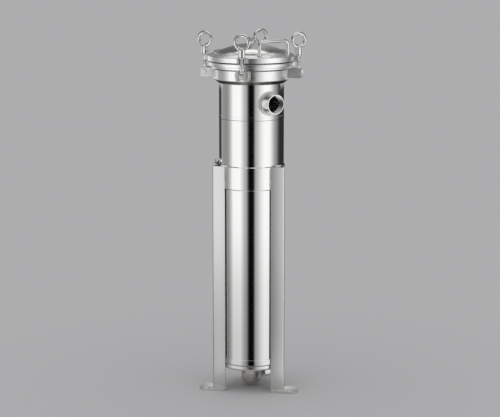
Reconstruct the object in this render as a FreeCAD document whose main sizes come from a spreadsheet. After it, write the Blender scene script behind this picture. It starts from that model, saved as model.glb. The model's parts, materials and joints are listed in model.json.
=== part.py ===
import FreeCAD, Part
import math
import os

import Sketcher

# Single-bag filter housing: a mirror-polished stainless vessel on three angle-iron legs.
# The frame has +Z up and its origin on the vessel's axis at floor level. The front is -Y.
# Azimuths are in degrees from the front, turning towards +X.
# Inlet socket on the right front, outlet socket under the bottom head, lid held by four
# swing bolts with ring nuts. A felt bag hangs in a perforated basket inside.

doc = FreeCAD.newDocument("bag_filter_housing")
sheet = doc.addObject("Spreadsheet::Sheet", "Sizes")

# alias, value in millimetres or degrees, what it is
SIZES = [
    ("shell_dia", 219.1, "vessel tube, outside"),
    ("shell_wall", 3.0, "vessel tube wall"),
    ("outlet_clear", 15.0, "floor to the outlet socket's mouth"),
    ("outlet_len", 62.0, "outlet socket, mouth to bottom head"),
    ("outlet_wall", 3.2, "outlet socket, wall across flats"),
    ("outlet_chamfer", 5.0, "outlet socket, chamfer round the mouth"),
    ("port_bore", 56.6, "inlet and outlet, bore across the thread's crests"),
    ("head_depth", 23.0, "bottom head, crown to open edge"),
    ("head_wall", 4.0, "bottom head wall"),
    ("head_knuckle", 9.0, "bottom head, outside corner radius"),
    ("lower_len", 835.0, "lower shell, head to girth seam"),
    ("upper_len", 118.0, "upper shell, girth seam to collar"),
    ("seam_width", 10.0, "girth seam, ground weld band"),
    ("seam_proud", 0.5, "girth seam, height over the tube"),
    ("ring_len", 20.0, "bottom ring, height"),
    ("ring_wall", 2.6, "bottom ring, thickness"),
    ("ring_round", 2.0, "bottom ring, edge radius"),
    ("ring_drop", 3.0, "bottom ring, lower edge below the seam"),
    ("band_base", 702.0, "leg band, floor to lower edge"),
    ("band_len", 75.0, "leg band, height"),
    ("band_wall", 3.0, "leg band, thickness"),
    ("leg_face", 48.0, "leg angle, flange width"),
    ("leg_wall", 3.0, "leg angle, thickness"),
    ("leg_bend", 6.0, "leg angle, outside corner radius"),
    ("leg_azimuth", 51.4, "right leg, azimuth of its corner"),
    ("foot_thick", 6.0, "foot plate thickness"),
    ("foot_long", 46.0, "foot plate, reach past the leg sideways"),
    ("foot_short", 27.0, "foot plate, reach past the leg in front"),
    ("foot_cut", 18.0, "foot plate, corner cut"),
    ("foot_lip", 3.0, "foot plate, reach past the leg where the plate narrows"),
    ("foot_inner", 36.0, "foot plate, inner corner cut"),
    ("anchor_hole", 12.0, "anchor hole diameter"),
    ("anchor_out", 13.0, "anchor hole, distance past the leg's corner"),
    ("collar_step", 17.0, "collar, reach past the tube"),
    ("collar_lip", 3.5, "collar, step inside the tube"),
    ("collar_len", 38.0, "collar, straight height"),
    ("collar_cone", 12.0, "collar, height of the cone under it"),
    ("collar_round", 3.0, "collar, lower corner radius"),
    ("neck_step", 9.5, "neck between collar and flange, reach past the collar"),
    ("neck_len", 7.0, "neck height"),
    ("flange_step", 8.5, "body flange, reach past the neck"),
    ("flange_len", 14.0, "body flange, thickness"),
    ("flange_round", 2.5, "body flange, edge radius"),
    ("seal_set", 17.0, "seal ring, centre line outside the throat"),
    ("seal_cord", 6.0, "seal ring, cord diameter"),
    ("seal_squeeze", 2.9, "gap between flange and lid"),
    ("lid_step", 2.5, "lid rim, reach past the flange"),
    ("lid_rim", 22.0, "lid rim, height"),
    ("lid_round", 3.0, "lid rim, upper edge radius"),
    ("ledge_rise", 5.0, "lid, slope of the ledge inside the rim"),
    ("rim_slope", 5.0, "lid rim, how far its outer edge lies lower"),
    ("bead_set", 24.0, "lid, raised bead's centre line inside the rim"),
    ("bead_size", 12.0, "lid, raised bead, thickness"),
    ("dome_rise", 30.0, "lid, dome height over the ledge"),
    ("lid_wall", 5.0, "lid, dome thickness"),
    ("bolt_set", 13.0, "swing bolts, axis outside the lid rim"),
    ("bolt_azimuth", -11.3, "front swing bolt, azimuth"),
    ("bolt_dia", 12.0, "swing bolt shank diameter"),
    ("eye_wall", 8.5, "swing bolt eye, wall round the pin"),
    ("eye_thick", 14.0, "swing bolt eye, thickness"),
    ("pin_dia", 12.0, "pivot pin diameter"),
    ("pin_drop", 15.0, "pivot pin axis, below the top of the ears"),
    ("pin_head_step", 3.0, "pivot pin head, reach past the pin"),
    ("pin_head_len", 3.0, "pivot pin head thickness"),
    ("fit_gap", 0.05, "running fit, radial clearance"),
    ("side_gap", 0.5, "eye to ear, clearance each side"),
    ("face_gap", 0.3, "gap between pieces that only touch"),
    ("ear_thick", 12.0, "lug ear thickness"),
    ("ear_high", 32.0, "lug ear height"),
    ("ear_round", 3.0, "lug ear, outer corner radius"),
    ("ear_out", 12.0, "lug ear, reach past the pin"),
    ("tab_thick", 18.0, "lid tab thickness"),
    ("tab_width", 34.0, "lid tab width"),
    ("slot_gap", 1.25, "lid tab slot, clearance round the bolt"),
    ("tab_out", 2.5, "lid tab, reach past the bolt's axis"),
    ("tab_drop", 3.0, "lid tab top, below the rim's top"),
    ("washer_wall", 6.0, "washer, width of its ring"),
    ("washer_thick", 2.5, "washer thickness"),
    ("hub_wall", 6.0, "ring nut, hub wall at its base"),
    ("hub_taper", 1.5, "ring nut, hub's loss of radius to the ring"),
    ("hub_len", 25.0, "ring nut, base to ring"),
    ("ring_dia", 45.0, "ring nut, ring centre line"),
    ("ring_bar", 11.5, "ring nut, ring thickness"),
    ("handle_span", 118.0, "lid handle, between its ends' axes"),
    ("handle_high", 43.0, "lid handle, height over the ledge"),
    ("handle_bar", 11.0, "lid handle, bar diameter"),
    ("handle_bend", 14.0, "lid handle, bend radius at the bar's axis"),
    ("handle_azimuth", 37.0, "lid handle, azimuth"),
    ("handle_inset", 26.0, "lid handle, inside the rim"),
    ("inlet_azimuth", 33.0, "inlet socket, azimuth"),
    ("inlet_low", 3.0, "inlet axis, below the upper shell's middle"),
    ("inlet_out", 38.5, "inlet mouth, past the tube"),
    ("inlet_wall", 4.7, "inlet socket wall"),
    ("pad_reach", 5.0, "inlet pad, reach past the socket"),
    ("pad_wall", 2.0, "inlet pad thickness"),
    ("gauge_azimuth", -80.0, "side coupling, azimuth"),
    ("gauge_gap", 2.0, "side coupling, clear of the leg band under it"),
    ("gauge_wall", 3.3, "side coupling wall"),
    ("gauge_reach", 11.0, "side coupling, reach past the shell"),
    ("gauge_bore", 11.4, "side coupling, bore"),
    ("plug_flats", 14.0, "side plug head, across flats"),
    ("plug_head", 5.0, "side plug head, length"),
    ("boss_dia", 24.0, "vent boss, diameter at the dome"),
    ("boss_top_dia", 15.0, "vent boss, diameter at its top"),
    ("boss_len", 6.0, "vent boss, height over the dome"),
    ("vent_flats", 13.0, "vent body, across flats"),
    ("vent_hex", 4.0, "vent body, hexagon height"),
    ("vent_spigot", 10.0, "vent body, spigot diameter in the boss"),
    ("vent_stem", 5.0, "vent screw, stem diameter"),
    ("wing_span", 25.0, "vent screw, span of the wings"),
    ("wing_high", 10.0, "vent screw, wing height"),
    ("wing_thick", 3.0, "vent screw, wing thickness"),
    ("seat_rise", 6.0, "basket seat, top above the girth seam"),
    ("seat_thick", 6.0, "basket seat ring thickness"),
    ("seat_gap", 1.0, "basket seat ring, clearance round the basket"),
    ("lip_reach", 8.0, "basket lip, reach past the basket tube"),
    ("basket_wall", 1.5, "basket wall"),
    ("basket_clear", 64.0, "basket floor, above the bottom head"),
    ("lip_gap", 6.5, "basket lip, clearance inside the tube"),
    ("basket_lip_len", 3.0, "basket lip thickness"),
    ("basket_hole", 40.0, "basket openings, diameter"),
    ("basket_rows", 6.0, "basket openings, rows"),
    ("basket_first", 70.0, "basket openings, lip to first row"),
    ("bag_gap", 1.5, "filter bag, clearance inside the basket"),
    ("bag_wall", 3.0, "filter bag felt thickness"),
    ("bag_clear", 26.0, "filter bag, closed end above the basket floor"),
    ("bag_toe", 20.0, "filter bag, radius at its closed end"),
    ("ring_gap", 1.0, "snap collar and hold-down ring, each inside the one below"),
    ("bag_collar_len", 6.0, "filter bag snap collar, height"),
    ("clamp_width", 14.0, "hold-down ring, width of its ring"),
    ("clamp_thick", 5.0, "hold-down ring thickness"),
    ("bail_bend", 28.0, "hold-down bail, bend radius at the bar's axis"),
    ("bail_inset", 6.0, "hold-down bail, its legs' axes inside the ring's edge"),
    ("bail_bar", 7.0, "hold-down bail, bar diameter"),
    ("tool_spare", 5.0, "cutting tools, reach past the surface they cut"),
]

for row, (alias, amount, note) in enumerate(SIZES, start=1):
    sheet.set(f"A{row}", note)
    sheet.set(f"B{row}", str(amount))
    sheet.setAlias(f"B{row}", alias)
doc.recompute()

S = {alias: f"Sizes.{alias}" for alias, amount, note in SIZES}


def plus(*terms):
    """One expression that adds the given expressions."""
    return "(" + " + ".join(terms) + ")"


def minus(first, *rest):
    """The first expression less the others."""
    return "(" + " - ".join((first,) + rest) + ")"


def half(term):
    return f"({term} / 2)"


def number(expression):
    """The present value of an expression."""
    return float(sheet.evalExpression(expression))


# Radii and levels that several pieces share
SHELL_R = half(S["shell_dia"])
SHELL_IN = minus(SHELL_R, S["shell_wall"])
HEAD_Z = plus(S["outlet_clear"], S["outlet_len"])
SHELL_Z = plus(HEAD_Z, S["head_depth"])
SEAM_Z = plus(SHELL_Z, S["lower_len"])
NECK_Z = plus(SEAM_Z, S["upper_len"])
COLLAR_Z = plus(NECK_Z, S["collar_cone"])
EAR_TOP = plus(COLLAR_Z, S["collar_len"])
FLANGE_Z = plus(EAR_TOP, S["neck_len"])
FLANGE_TOP = plus(FLANGE_Z, S["flange_len"])
LID_Z = plus(FLANGE_TOP, S["seal_squeeze"])
LID_TOP = plus(LID_Z, S["lid_rim"])
LEDGE_Z = plus(LID_TOP, S["ledge_rise"])
RIM_TOP = minus(LID_TOP, S["rim_slope"])
CROWN_Z = plus(LEDGE_Z, S["dome_rise"])
PIN_Z = minus(EAR_TOP, S["pin_drop"])
TAB_TOP = minus(LID_TOP, S["tab_drop"])
WASHER_Z = plus(TAB_TOP, S["face_gap"])
NUT_Z = plus(WASHER_Z, S["washer_thick"], S["face_gap"])
BAND_TOP = plus(S["band_base"], S["band_len"])
SEAT_Z = plus(SEAM_Z, S["seat_rise"])
INLET_Z = minus(NECK_Z, half(S["upper_len"]), S["inlet_low"])
GAUGE_Z = plus(BAND_TOP, S["gauge_gap"], S["gauge_wall"], half(S["gauge_bore"]))
BASKET_Z = plus(SHELL_Z, S["basket_clear"])
LIP_TOP = plus(SEAT_Z, S["basket_lip_len"])
BAG_TOP = plus(LIP_TOP, S["bag_collar_len"])
BAND_R = plus(SHELL_R, S["band_wall"])
THROAT_R = minus(SHELL_IN, S["collar_lip"])
COLLAR_R = plus(SHELL_R, S["collar_step"])
NECK_R = plus(COLLAR_R, S["neck_step"])
FLANGE_R = plus(NECK_R, S["flange_step"])
SEAL_R = plus(THROAT_R, S["seal_set"])
RIM_R = plus(FLANGE_R, S["lid_step"])
BEAD_R = minus(RIM_R, S["bead_set"])
BOLTS_R = plus(RIM_R, S["bolt_set"])
PORT_R = half(S["port_bore"])
INLET_R = plus(PORT_R, S["inlet_wall"])
INLET_END = plus(SHELL_R, S["inlet_out"])
PAD_R = plus(INLET_R, S["pad_reach"])
GAUGE_END = plus(SHELL_R, S["gauge_reach"])
SHANK_R = half(S["bolt_dia"])
SHANK_BORE = plus(SHANK_R, S["fit_gap"])
PIN_R = half(S["pin_dia"])
PIN_BORE = plus(PIN_R, S["fit_gap"])
EYE_R = plus(PIN_R, S["eye_wall"])
EAR_GAP = plus(S["eye_thick"], S["side_gap"], S["side_gap"])
LIP_R = minus(SHELL_IN, S["lip_gap"])
BASKET_R = minus(LIP_R, S["lip_reach"])
BAG_R = minus(BASKET_R, S["basket_wall"], S["bag_gap"])
# Distance from the axis to a leg's corner, with both inside flange edges on the band
LEG_SUM = plus(S["leg_face"], S["leg_wall"])
LEG_CORNER = (f"(({LEG_SUM} + sqrt(pow({LEG_SUM}; 2) - 2 * (pow({S['leg_face']}; 2)"
              f" + pow({S['leg_wall']}; 2) - pow({BAND_R}; 2)))) * sqrt(2) / 2)")

BOLT_NAMES = ["front", "right", "rear", "left"]
LEG_NAMES = ["right", "rear", "left"]
# How far each ring nut is turned on its bolt, in degrees about Z
NUT_YAWS = [-16, 24, 30, -28]
# The outlet socket's outside is an octagon
OUTLET_SIDES = 8
parts = {}


def keep(obj, label):
    """Gives a finished sub-part its node name."""
    obj.Label = label
    parts[label] = obj
    return obj


def turn_to(obj, azimuth, radius="0", height="0"):
    """Places a piece that was modelled at the front on its azimuth, radius and height."""
    base = "Placement.Base"
    obj.Placement = FreeCAD.Placement(FreeCAD.Vector(0, 0, 0), FreeCAD.Rotation(FreeCAD.Vector(0, 0, 1), 1))
    obj.setExpression(f"{base}.x", f"{radius} * sin({azimuth} * 1deg)")
    obj.setExpression(f"{base}.y", f"-{radius} * cos({azimuth} * 1deg)")
    obj.setExpression(f"{base}.z", height)
    obj.setExpression("Placement.Rotation.Angle", f"{azimuth} * 1deg")


def blank_body(name):
    """A body that is only a step towards a sub-part."""
    return doc.addObject("PartDesign::Body", name)


def new_body(label):
    return keep(blank_body(label), label)


def origin_plane(body, role):
    return next(f for f in body.Origin.OriginFeatures if f.Role == role)


def bind(sketch, kind, geometry, point, expression, name):
    """Ties a point's x or y to an expression, or puts it on the axis where that is 0."""
    if expression == "0":
        axis = -2 if kind == "DistanceX" else -1
        sketch.addConstraint(Sketcher.Constraint("PointOnObject", geometry, point, axis))
        return
    index = sketch.addConstraint(
        Sketcher.Constraint(kind, -1, 1, geometry, point, number(expression)))
    sketch.renameConstraint(index, name)
    sketch.setExpression(f"Constraints.{name}", expression)


def arc_between(start, end, radius, side):
    """An arc from start to end. side is 1 where it bends left of the chord's centre, -1 right."""
    chord = end - start
    middle = (start + end) * 0.5
    rise = math.sqrt(max(radius ** 2 - (chord.Length / 2) ** 2, 0.0))
    normal = FreeCAD.Vector(-chord.y, chord.x, 0).normalize()
    centre = middle + normal * rise * side
    first = math.atan2(start.y - centre.y, start.x - centre.x)
    last = math.atan2(end.y - centre.y, end.x - centre.x)
    if side < 0:
        first, last = last, first
    circle = Part.Circle(centre, FreeCAD.Vector(0, 0, 1), radius)
    return Part.ArcOfCircle(circle, first, last)


def profile(body, role, name, points):
    """A closed outline. Each point is (x, y) or (x, y, radius, side) where an arc leads to the next."""
    sketch = body.newObject("Sketcher::SketchObject", name)
    sketch.AttachmentSupport = (origin_plane(body, role), [""])
    sketch.MapMode = "FlatFace"
    spots = [FreeCAD.Vector(number(p[0]), number(p[1]), 0) for p in points]
    ends = []
    for i, point in enumerate(points):
        start, end = spots[i], spots[(i + 1) % len(points)]
        if len(point) == 4:
            geometry = sketch.addGeometry(arc_between(start, end, number(point[2]), point[3]))
            ends.append((geometry, 1, 2) if point[3] > 0 else (geometry, 2, 1))
        else:
            geometry = sketch.addGeometry(Part.LineSegment(start, end))
            ends.append((geometry, 1, 2))
    for i, point in enumerate(points):
        before, here = ends[i - 1], ends[i]
        sketch.addConstraint(Sketcher.Constraint("Coincident", before[0], before[2], here[0], here[1]))
        bind(sketch, "DistanceX", here[0], here[1], point[0], f"x{i}")
        bind(sketch, "DistanceY", here[0], here[1], point[1], f"y{i}")
        if len(point) == 4:
            index = sketch.addConstraint(Sketcher.Constraint("Radius", here[0], number(point[2])))
            sketch.renameConstraint(index, f"r{i}")
            sketch.setExpression(f"Constraints.r{i}", point[2])
    return sketch


def circle_sketch(body, role, name, diameter, x="0", y="0"):
    sketch = body.newObject("Sketcher::SketchObject", name)
    sketch.AttachmentSupport = (origin_plane(body, role), [""])
    sketch.MapMode = "FlatFace"
    centre = FreeCAD.Vector(number(x), number(y), 0)
    geometry = sketch.addGeometry(Part.Circle(centre, FreeCAD.Vector(0, 0, 1), number(diameter) / 2))
    bind(sketch, "DistanceX", geometry, 3, x, "x")
    bind(sketch, "DistanceY", geometry, 3, y, "y")
    index = sketch.addConstraint(Sketcher.Constraint("Diameter", geometry, number(diameter)))
    sketch.renameConstraint(index, "d")
    sketch.setExpression("Constraints.d", diameter)
    return sketch


def revolve(body, sketch, kind="PartDesign::Revolution"):
    feature = body.newObject(kind, f"{sketch.Name}_turned")
    feature.Profile = sketch
    feature.ReferenceAxis = (sketch, ["V_Axis"])
    feature.Angle = 360
    doc.recompute()
    return feature


def pad(body, sketch, length, middle=False, back=False):
    feature = body.newObject("PartDesign::Pad", f"{sketch.Name}_pad")
    feature.Profile = sketch
    feature.setExpression("Length", length)
    feature.Midplane = middle
    feature.Reversed = back
    doc.recompute()
    return feature


def pocket(body, sketch, length, middle=False, back=False):
    feature = body.newObject("PartDesign::Pocket", f"{sketch.Name}_pocket")
    feature.Profile = sketch
    feature.setExpression("Length", length)
    feature.Midplane = middle
    feature.Reversed = back
    doc.recompute()
    return feature


def round_edges(body, size, chosen, kind="PartDesign::Fillet"):
    """Fillets or chamfers the edges of the tip that the chosen test accepts."""
    tip = body.Tip
    names = [f"Edge{i + 1}" for i, edge in enumerate(tip.Shape.Edges) if chosen(edge)]
    if not names:
        raise RuntimeError(f"{body.Label}: no edge to round")
    feature = body.newObject(kind, f"{body.Name}_round")
    feature.Base = (tip, names)
    feature.setExpression("Radius" if kind.endswith("Fillet") else "Size", size)
    doc.recompute()
    return feature


def ring_edge(radius, height):
    """Accepts the circular edges about Z with this radius at this height."""
    def chosen(edge):
        if edge.Degenerated or not isinstance(edge.Curve, Part.Circle):
            return False
        return (abs(edge.Curve.Radius - number(radius)) < 0.01
                and abs(edge.BoundBox.ZMin - number(height)) < 0.01
                and edge.BoundBox.ZLength < 0.01)
    return chosen


def blank_ring(name, inner, outer, low, high):
    """A plain ring about Z."""
    body = blank_body(name)
    revolve(body, profile(body, "XZ_Plane", f"{name}_section", [
        (inner, low), (outer, low), (outer, high), (inner, high)]))
    return body


def turned_ring(label, inner, outer, low, high):
    return keep(blank_ring(label, inner, outer, low, high), label)


def cylinder(name, radius, height, azimuth=None, start="0", level="0"):
    """A Part cylinder: upright, or lying outwards along an azimuth from a radius at a level."""
    tool = doc.addObject("Part::Cylinder", name)
    tool.setExpression("Radius", radius)
    tool.setExpression("Height", height)
    if azimuth is None:
        tool.setExpression("Placement.Base.z", level)
        return tool
    spin = FreeCAD.Rotation(FreeCAD.Vector(0, 0, 1), number(azimuth))
    lay = FreeCAD.Rotation(FreeCAD.Vector(1, 0, 0), 90)
    tool.Placement = FreeCAD.Placement(FreeCAD.Vector(0, 0, 0), spin.multiply(lay))
    tool.setExpression("Placement.Base.x", f"{start} * sin({azimuth} * 1deg)")
    tool.setExpression("Placement.Base.y", f"-{start} * cos({azimuth} * 1deg)")
    tool.setExpression("Placement.Base.z", level)
    return tool


def boolean(kind, name, base, tool):
    """A Part cut, fuse or common of two objects."""
    result = doc.addObject(f"Part::{kind}", name)
    result.Base = base
    result.Tool = tool
    doc.recompute()
    return result


def flat_prism(name, flats, height, sides=6):
    """A prism about Z on the XY plane, sized across its flats."""
    prism = doc.addObject("Part::Prism", name)
    prism.Polygon = sides
    prism.setExpression("Circumradius", f"{flats} / 2 / cos(180deg / {sides})")
    prism.setExpression("Height", height)
    return prism


# Vessel

def make_bottom_head():
    """Flanged flat head with a hole for the outlet socket."""
    body = new_body("bottom_head")
    hole = PORT_R
    knuckle_in = minus(S["head_knuckle"], S["head_wall"])
    floor = plus(HEAD_Z, S["head_wall"])
    inner = minus(SHELL_R, S["head_wall"])
    revolve(body, profile(body, "XZ_Plane", "head_section", [
        (hole, HEAD_Z),
        (minus(SHELL_R, S["head_knuckle"]), HEAD_Z, S["head_knuckle"], 1),
        (SHELL_R, plus(HEAD_Z, S["head_knuckle"])),
        (SHELL_R, SHELL_Z),
        (inner, SHELL_Z),
        (inner, plus(floor, knuckle_in), knuckle_in, -1),
        (minus(inner, knuckle_in), floor),
        (hole, floor)]))


def make_bottom_ring():
    """Rolled ring over the seam between head and shell."""
    outer = plus(SHELL_R, S["ring_wall"])
    low = minus(SHELL_Z, S["ring_drop"])
    high = plus(low, S["ring_len"])
    body = turned_ring("bottom_ring", SHELL_R, outer, low, high)
    round_edges(body, S["ring_round"], lambda e: ring_edge(outer, low)(e) or ring_edge(outer, high)(e))


def make_outlet_socket():
    """Octagonal half coupling under the head, chamfered round its mouth."""
    flats = plus(S["port_bore"], S["outlet_wall"], S["outlet_wall"])
    blank = flat_prism("outlet_blank", flats, S["outlet_len"], OUTLET_SIDES)
    blank.setExpression("Placement.Base.z", S["outlet_clear"])
    cone = doc.addObject("Part::Cone", "outlet_cone")
    corner = f"({flats} / 2 / cos(180deg / {OUTLET_SIDES}))"
    cone.setExpression("Radius1", minus(corner, S["outlet_chamfer"]))
    cone.setExpression("Radius2", plus(corner, S["outlet_len"], f"-{S['outlet_chamfer']}"))
    cone.setExpression("Height", S["outlet_len"])
    cone.setExpression("Placement.Base.z", S["outlet_clear"])
    outside = boolean("Common", "outlet_outside", blank, cone)
    bore = cylinder("outlet_bore", PORT_R, S["outlet_len"], level=S["outlet_clear"])
    keep(boolean("Cut", "outlet_socket", outside, bore), "outlet_socket")


def make_lower_shell():
    """Long tube from the bottom head to the girth seam, with a hole for the side coupling."""
    body = blank_body("lower_tube")
    revolve(body, profile(body, "XZ_Plane", "lower_section", [
        (SHELL_IN, SHELL_Z), (SHELL_R, SHELL_Z), (SHELL_R, SEAM_Z), (SHELL_IN, SEAM_Z)]))
    drill = cylinder("gauge_drill", half(S["gauge_bore"]), half(S["shell_dia"]),
                     S["gauge_azimuth"], half(SHELL_R), GAUGE_Z)
    keep(boolean("Cut", "lower_shell", body, drill), "lower_shell")


def make_upper_shell():
    """Short tube from the girth seam to the collar, with the inlet hole and the ground seam band."""
    body = blank_body("upper_tube")
    proud = plus(SHELL_R, S["seam_proud"])
    seam_top = plus(SEAM_Z, S["seam_width"])
    revolve(body, profile(body, "XZ_Plane", "upper_section", [
        (SHELL_IN, SEAM_Z), (proud, SEAM_Z), (proud, seam_top), (SHELL_R, seam_top),
        (SHELL_R, NECK_Z), (SHELL_IN, NECK_Z)]))
    drill = cylinder("inlet_drill", PORT_R, half(S["shell_dia"]), S["inlet_azimuth"], half(SHELL_R), INLET_Z)
    keep(boolean("Cut", "upper_shell", body, drill), "upper_shell")


def make_inlet():
    """Inlet half coupling and the saddle pad round it."""
    outer = cylinder("inlet_outer", INLET_R, minus(INLET_END, half(SHELL_R)),
                     S["inlet_azimuth"], half(SHELL_R), INLET_Z)
    inner = cylinder("inlet_inner", PORT_R, INLET_END, S["inlet_azimuth"], "0", INLET_Z)
    saddle = cylinder("inlet_saddle", SHELL_R, S["shell_dia"], level=minus(INLET_Z, SHELL_R))
    tube = boolean("Cut", "inlet_tube", outer, inner)
    keep(boolean("Cut", "inlet_socket", tube, saddle), "inlet_socket")
    disc = cylinder("pad_disc", PAD_R, SHELL_R, S["inlet_azimuth"], half(SHELL_R), INLET_Z)
    middle = cylinder("pad_middle", INLET_R, INLET_END, S["inlet_azimuth"], "0", INLET_Z)
    shape = blank_ring("pad_tube", SHELL_R, plus(SHELL_R, S["pad_wall"]),
                       minus(INLET_Z, SHELL_R), plus(INLET_Z, SHELL_R))
    washer = boolean("Cut", "pad_washer", disc, middle)
    keep(boolean("Common", "inlet_pad", washer, shape), "inlet_pad")


def make_collar():
    """Spun collar: a cone out of the shell, a straight skirt and the narrow neck under the flange."""
    body = new_body("collar")
    revolve(body, profile(body, "XZ_Plane", "collar_section", [
        (THROAT_R, NECK_Z), (SHELL_R, NECK_Z), (COLLAR_R, COLLAR_Z), (COLLAR_R, EAR_TOP),
        (THROAT_R, EAR_TOP)]))
    round_edges(body, S["collar_round"], ring_edge(COLLAR_R, COLLAR_Z))


def make_flange():
    """Body flange with its neck and the groove for the seal ring."""
    body = new_body("body_flange")
    seal_in = minus(SEAL_R, half(S["seal_cord"]), S["face_gap"])
    seal_out = plus(SEAL_R, half(S["seal_cord"]), S["face_gap"])
    floor = minus(LID_Z, S["seal_cord"], S["face_gap"])
    revolve(body, profile(body, "XZ_Plane", "flange_section", [
        (THROAT_R, EAR_TOP), (NECK_R, EAR_TOP), (NECK_R, FLANGE_Z), (FLANGE_R, FLANGE_Z),
        (FLANGE_R, FLANGE_TOP), (seal_out, FLANGE_TOP), (seal_out, floor), (seal_in, floor),
        (seal_in, FLANGE_TOP), (THROAT_R, FLANGE_TOP)]))
    round_edges(body, S["flange_round"], lambda e: ring_edge(FLANGE_R, FLANGE_Z)(e)
                or ring_edge(FLANGE_R, FLANGE_TOP)(e))


def make_seal():
    """Rubber ring between flange and lid."""
    seal = doc.addObject("Part::Torus", "lid_seal")
    seal.setExpression("Radius1", SEAL_R)
    seal.setExpression("Radius2", half(S["seal_cord"]))
    seal.setExpression("Placement.Base.z", minus(LID_Z, half(S["seal_cord"]), half(S["face_gap"])))
    keep(seal, "lid_seal")


# Legs

def make_leg_band():
    turned_ring("leg_band", SHELL_R, plus(SHELL_R, S["band_wall"]), S["band_base"], BAND_TOP)


def leg_azimuth(index):
    return f"({S['leg_azimuth']} + {index * 120})"


def make_leg(index):
    """Angle iron with its corner outwards and both flange edges on the band."""
    body = new_body(f"leg_{LEG_NAMES[index]}")
    wall, face, bend = S["leg_wall"], S["leg_face"], S["leg_bend"]
    bend_in = minus(bend, wall)
    sketch = profile(body, "XY_Plane", f"leg_{index}_section", [
        (bend, "0"), (face, "0"), (face, wall), (bend, wall, bend_in, -1),
        (wall, bend), (wall, face), ("0", face), ("0", bend, bend, 1)])
    pad(body, sketch, minus(BAND_TOP, S["foot_thick"]))
    turn_corner(body, index, S["foot_thick"])


def turn_corner(body, index, height):
    """Stands a piece drawn from the leg's corner along +X and +Y on that corner."""
    azimuth = leg_azimuth(index)
    turn_to(body, azimuth, LEG_CORNER, height)
    body.setExpression("Placement.Rotation.Angle", f"({azimuth} + 45) * 1deg")


def make_foot(index):
    """Foot plate under the leg: it reaches further on one side, narrows towards one arm of the leg,
    and has its outer and its inner corner cut."""
    body = new_body(f"foot_{LEG_NAMES[index]}")
    face, cut, lip = S["leg_face"], S["foot_cut"], f"(-{S['foot_lip']})"
    inner = minus(face, S["foot_inner"])
    low_x, low_y = f"(-{S['foot_long']})", f"(-{S['foot_short']})"
    ends = [(face, lip), (face, inner), (inner, face), (low_x, face)]
    if LEG_NAMES[index] == "right":
        low_x, low_y = low_y, low_x
        ends = [(face, low_y), (face, inner), (inner, face), (lip, face)]
    sketch = profile(body, "XY_Plane", f"foot_{index}_outline", [
        (plus(low_x, cut), low_y), *ends, (low_x, plus(low_y, cut))])
    pad(body, sketch, S["foot_thick"])
    spot = f"(-{S['anchor_out']} * 0.70711)"
    pocket(body, circle_sketch(body, "XY_Plane", f"foot_{index}_hole", S["anchor_hole"], spot, spot),
           S["foot_thick"], back=True)
    turn_corner(body, index, "0")


# Lid

def make_lid():
    """Lid: machined rim, sloping ledge, raised bead and a shallow dome."""
    body = blank_body("lid_blank")
    bead_out = plus(BEAD_R, half(S["bead_size"]))
    bead_in = minus(BEAD_R, half(S["bead_size"]))
    dome = f"((pow({bead_in}; 2) + pow({S['dome_rise']}; 2)) / 2 / {S['dome_rise']})"
    inside = minus(bead_in, S["lid_wall"])
    low = minus(LEDGE_Z, S["lid_wall"])
    dome_in = f"((pow({inside}; 2) + pow({S['dome_rise']}; 2)) / 2 / {S['dome_rise']})"
    revolve(body, profile(body, "XZ_Plane", "lid_section", [
        ("0", minus(CROWN_Z, S["lid_wall"]), dome_in, -1),
        (inside, low),
        (inside, LID_Z),
        (RIM_R, LID_Z),
        (RIM_R, RIM_TOP),
        (bead_out, LEDGE_Z, half(S["bead_size"]), 1),
        (BEAD_R, plus(LEDGE_Z, half(S["bead_size"])), half(S["bead_size"]), 1),
        (bead_in, LEDGE_Z, dome, 1),
        ("0", CROWN_Z)]))
    round_edges(body, S["lid_round"], ring_edge(RIM_R, RIM_TOP))
    drill = cylinder("vent_drill", half(S["vent_stem"]), S["dome_rise"],
                     level=minus(CROWN_Z, half(S["dome_rise"])))
    keep(boolean("Cut", "lid", body, drill), "lid")


def make_tab(index):
    """Tab on the lid's rim with a slot that is open outwards for one swing bolt."""
    name = BOLT_NAMES[index]
    body = blank_body(f"tab_{name}_blank")
    side, slot, out = half(S["tab_width"]), plus(SHANK_R, S["slot_gap"]), f"(-{S['tab_out']})"
    root = plus(S["bolt_set"], S["tool_spare"])
    sketch = profile(body, "XY_Plane", f"tab_{name}_outline", [
        (f"(-{slot})", "0", slot, -1), ("0", slot, slot, -1), (slot, "0"), (slot, out), (side, out),
        (side, root), (f"(-{side})", root), (f"(-{side})", out), (f"(-{slot})", out)])
    pad(body, sketch, S["tab_thick"])
    level = minus(TAB_TOP, S["tab_thick"])
    turn_to(body, bolt_azimuth(index), BOLTS_R, level)
    rim = cylinder(f"tab_{name}_rim", RIM_R, S["lid_rim"], level=level)
    keep(boolean("Cut", f"lid_tab_{name}", body, rim), f"lid_tab_{name}")


def bolt_azimuth(index):
    return f"({S['bolt_azimuth']} + {index * 90})"


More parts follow.
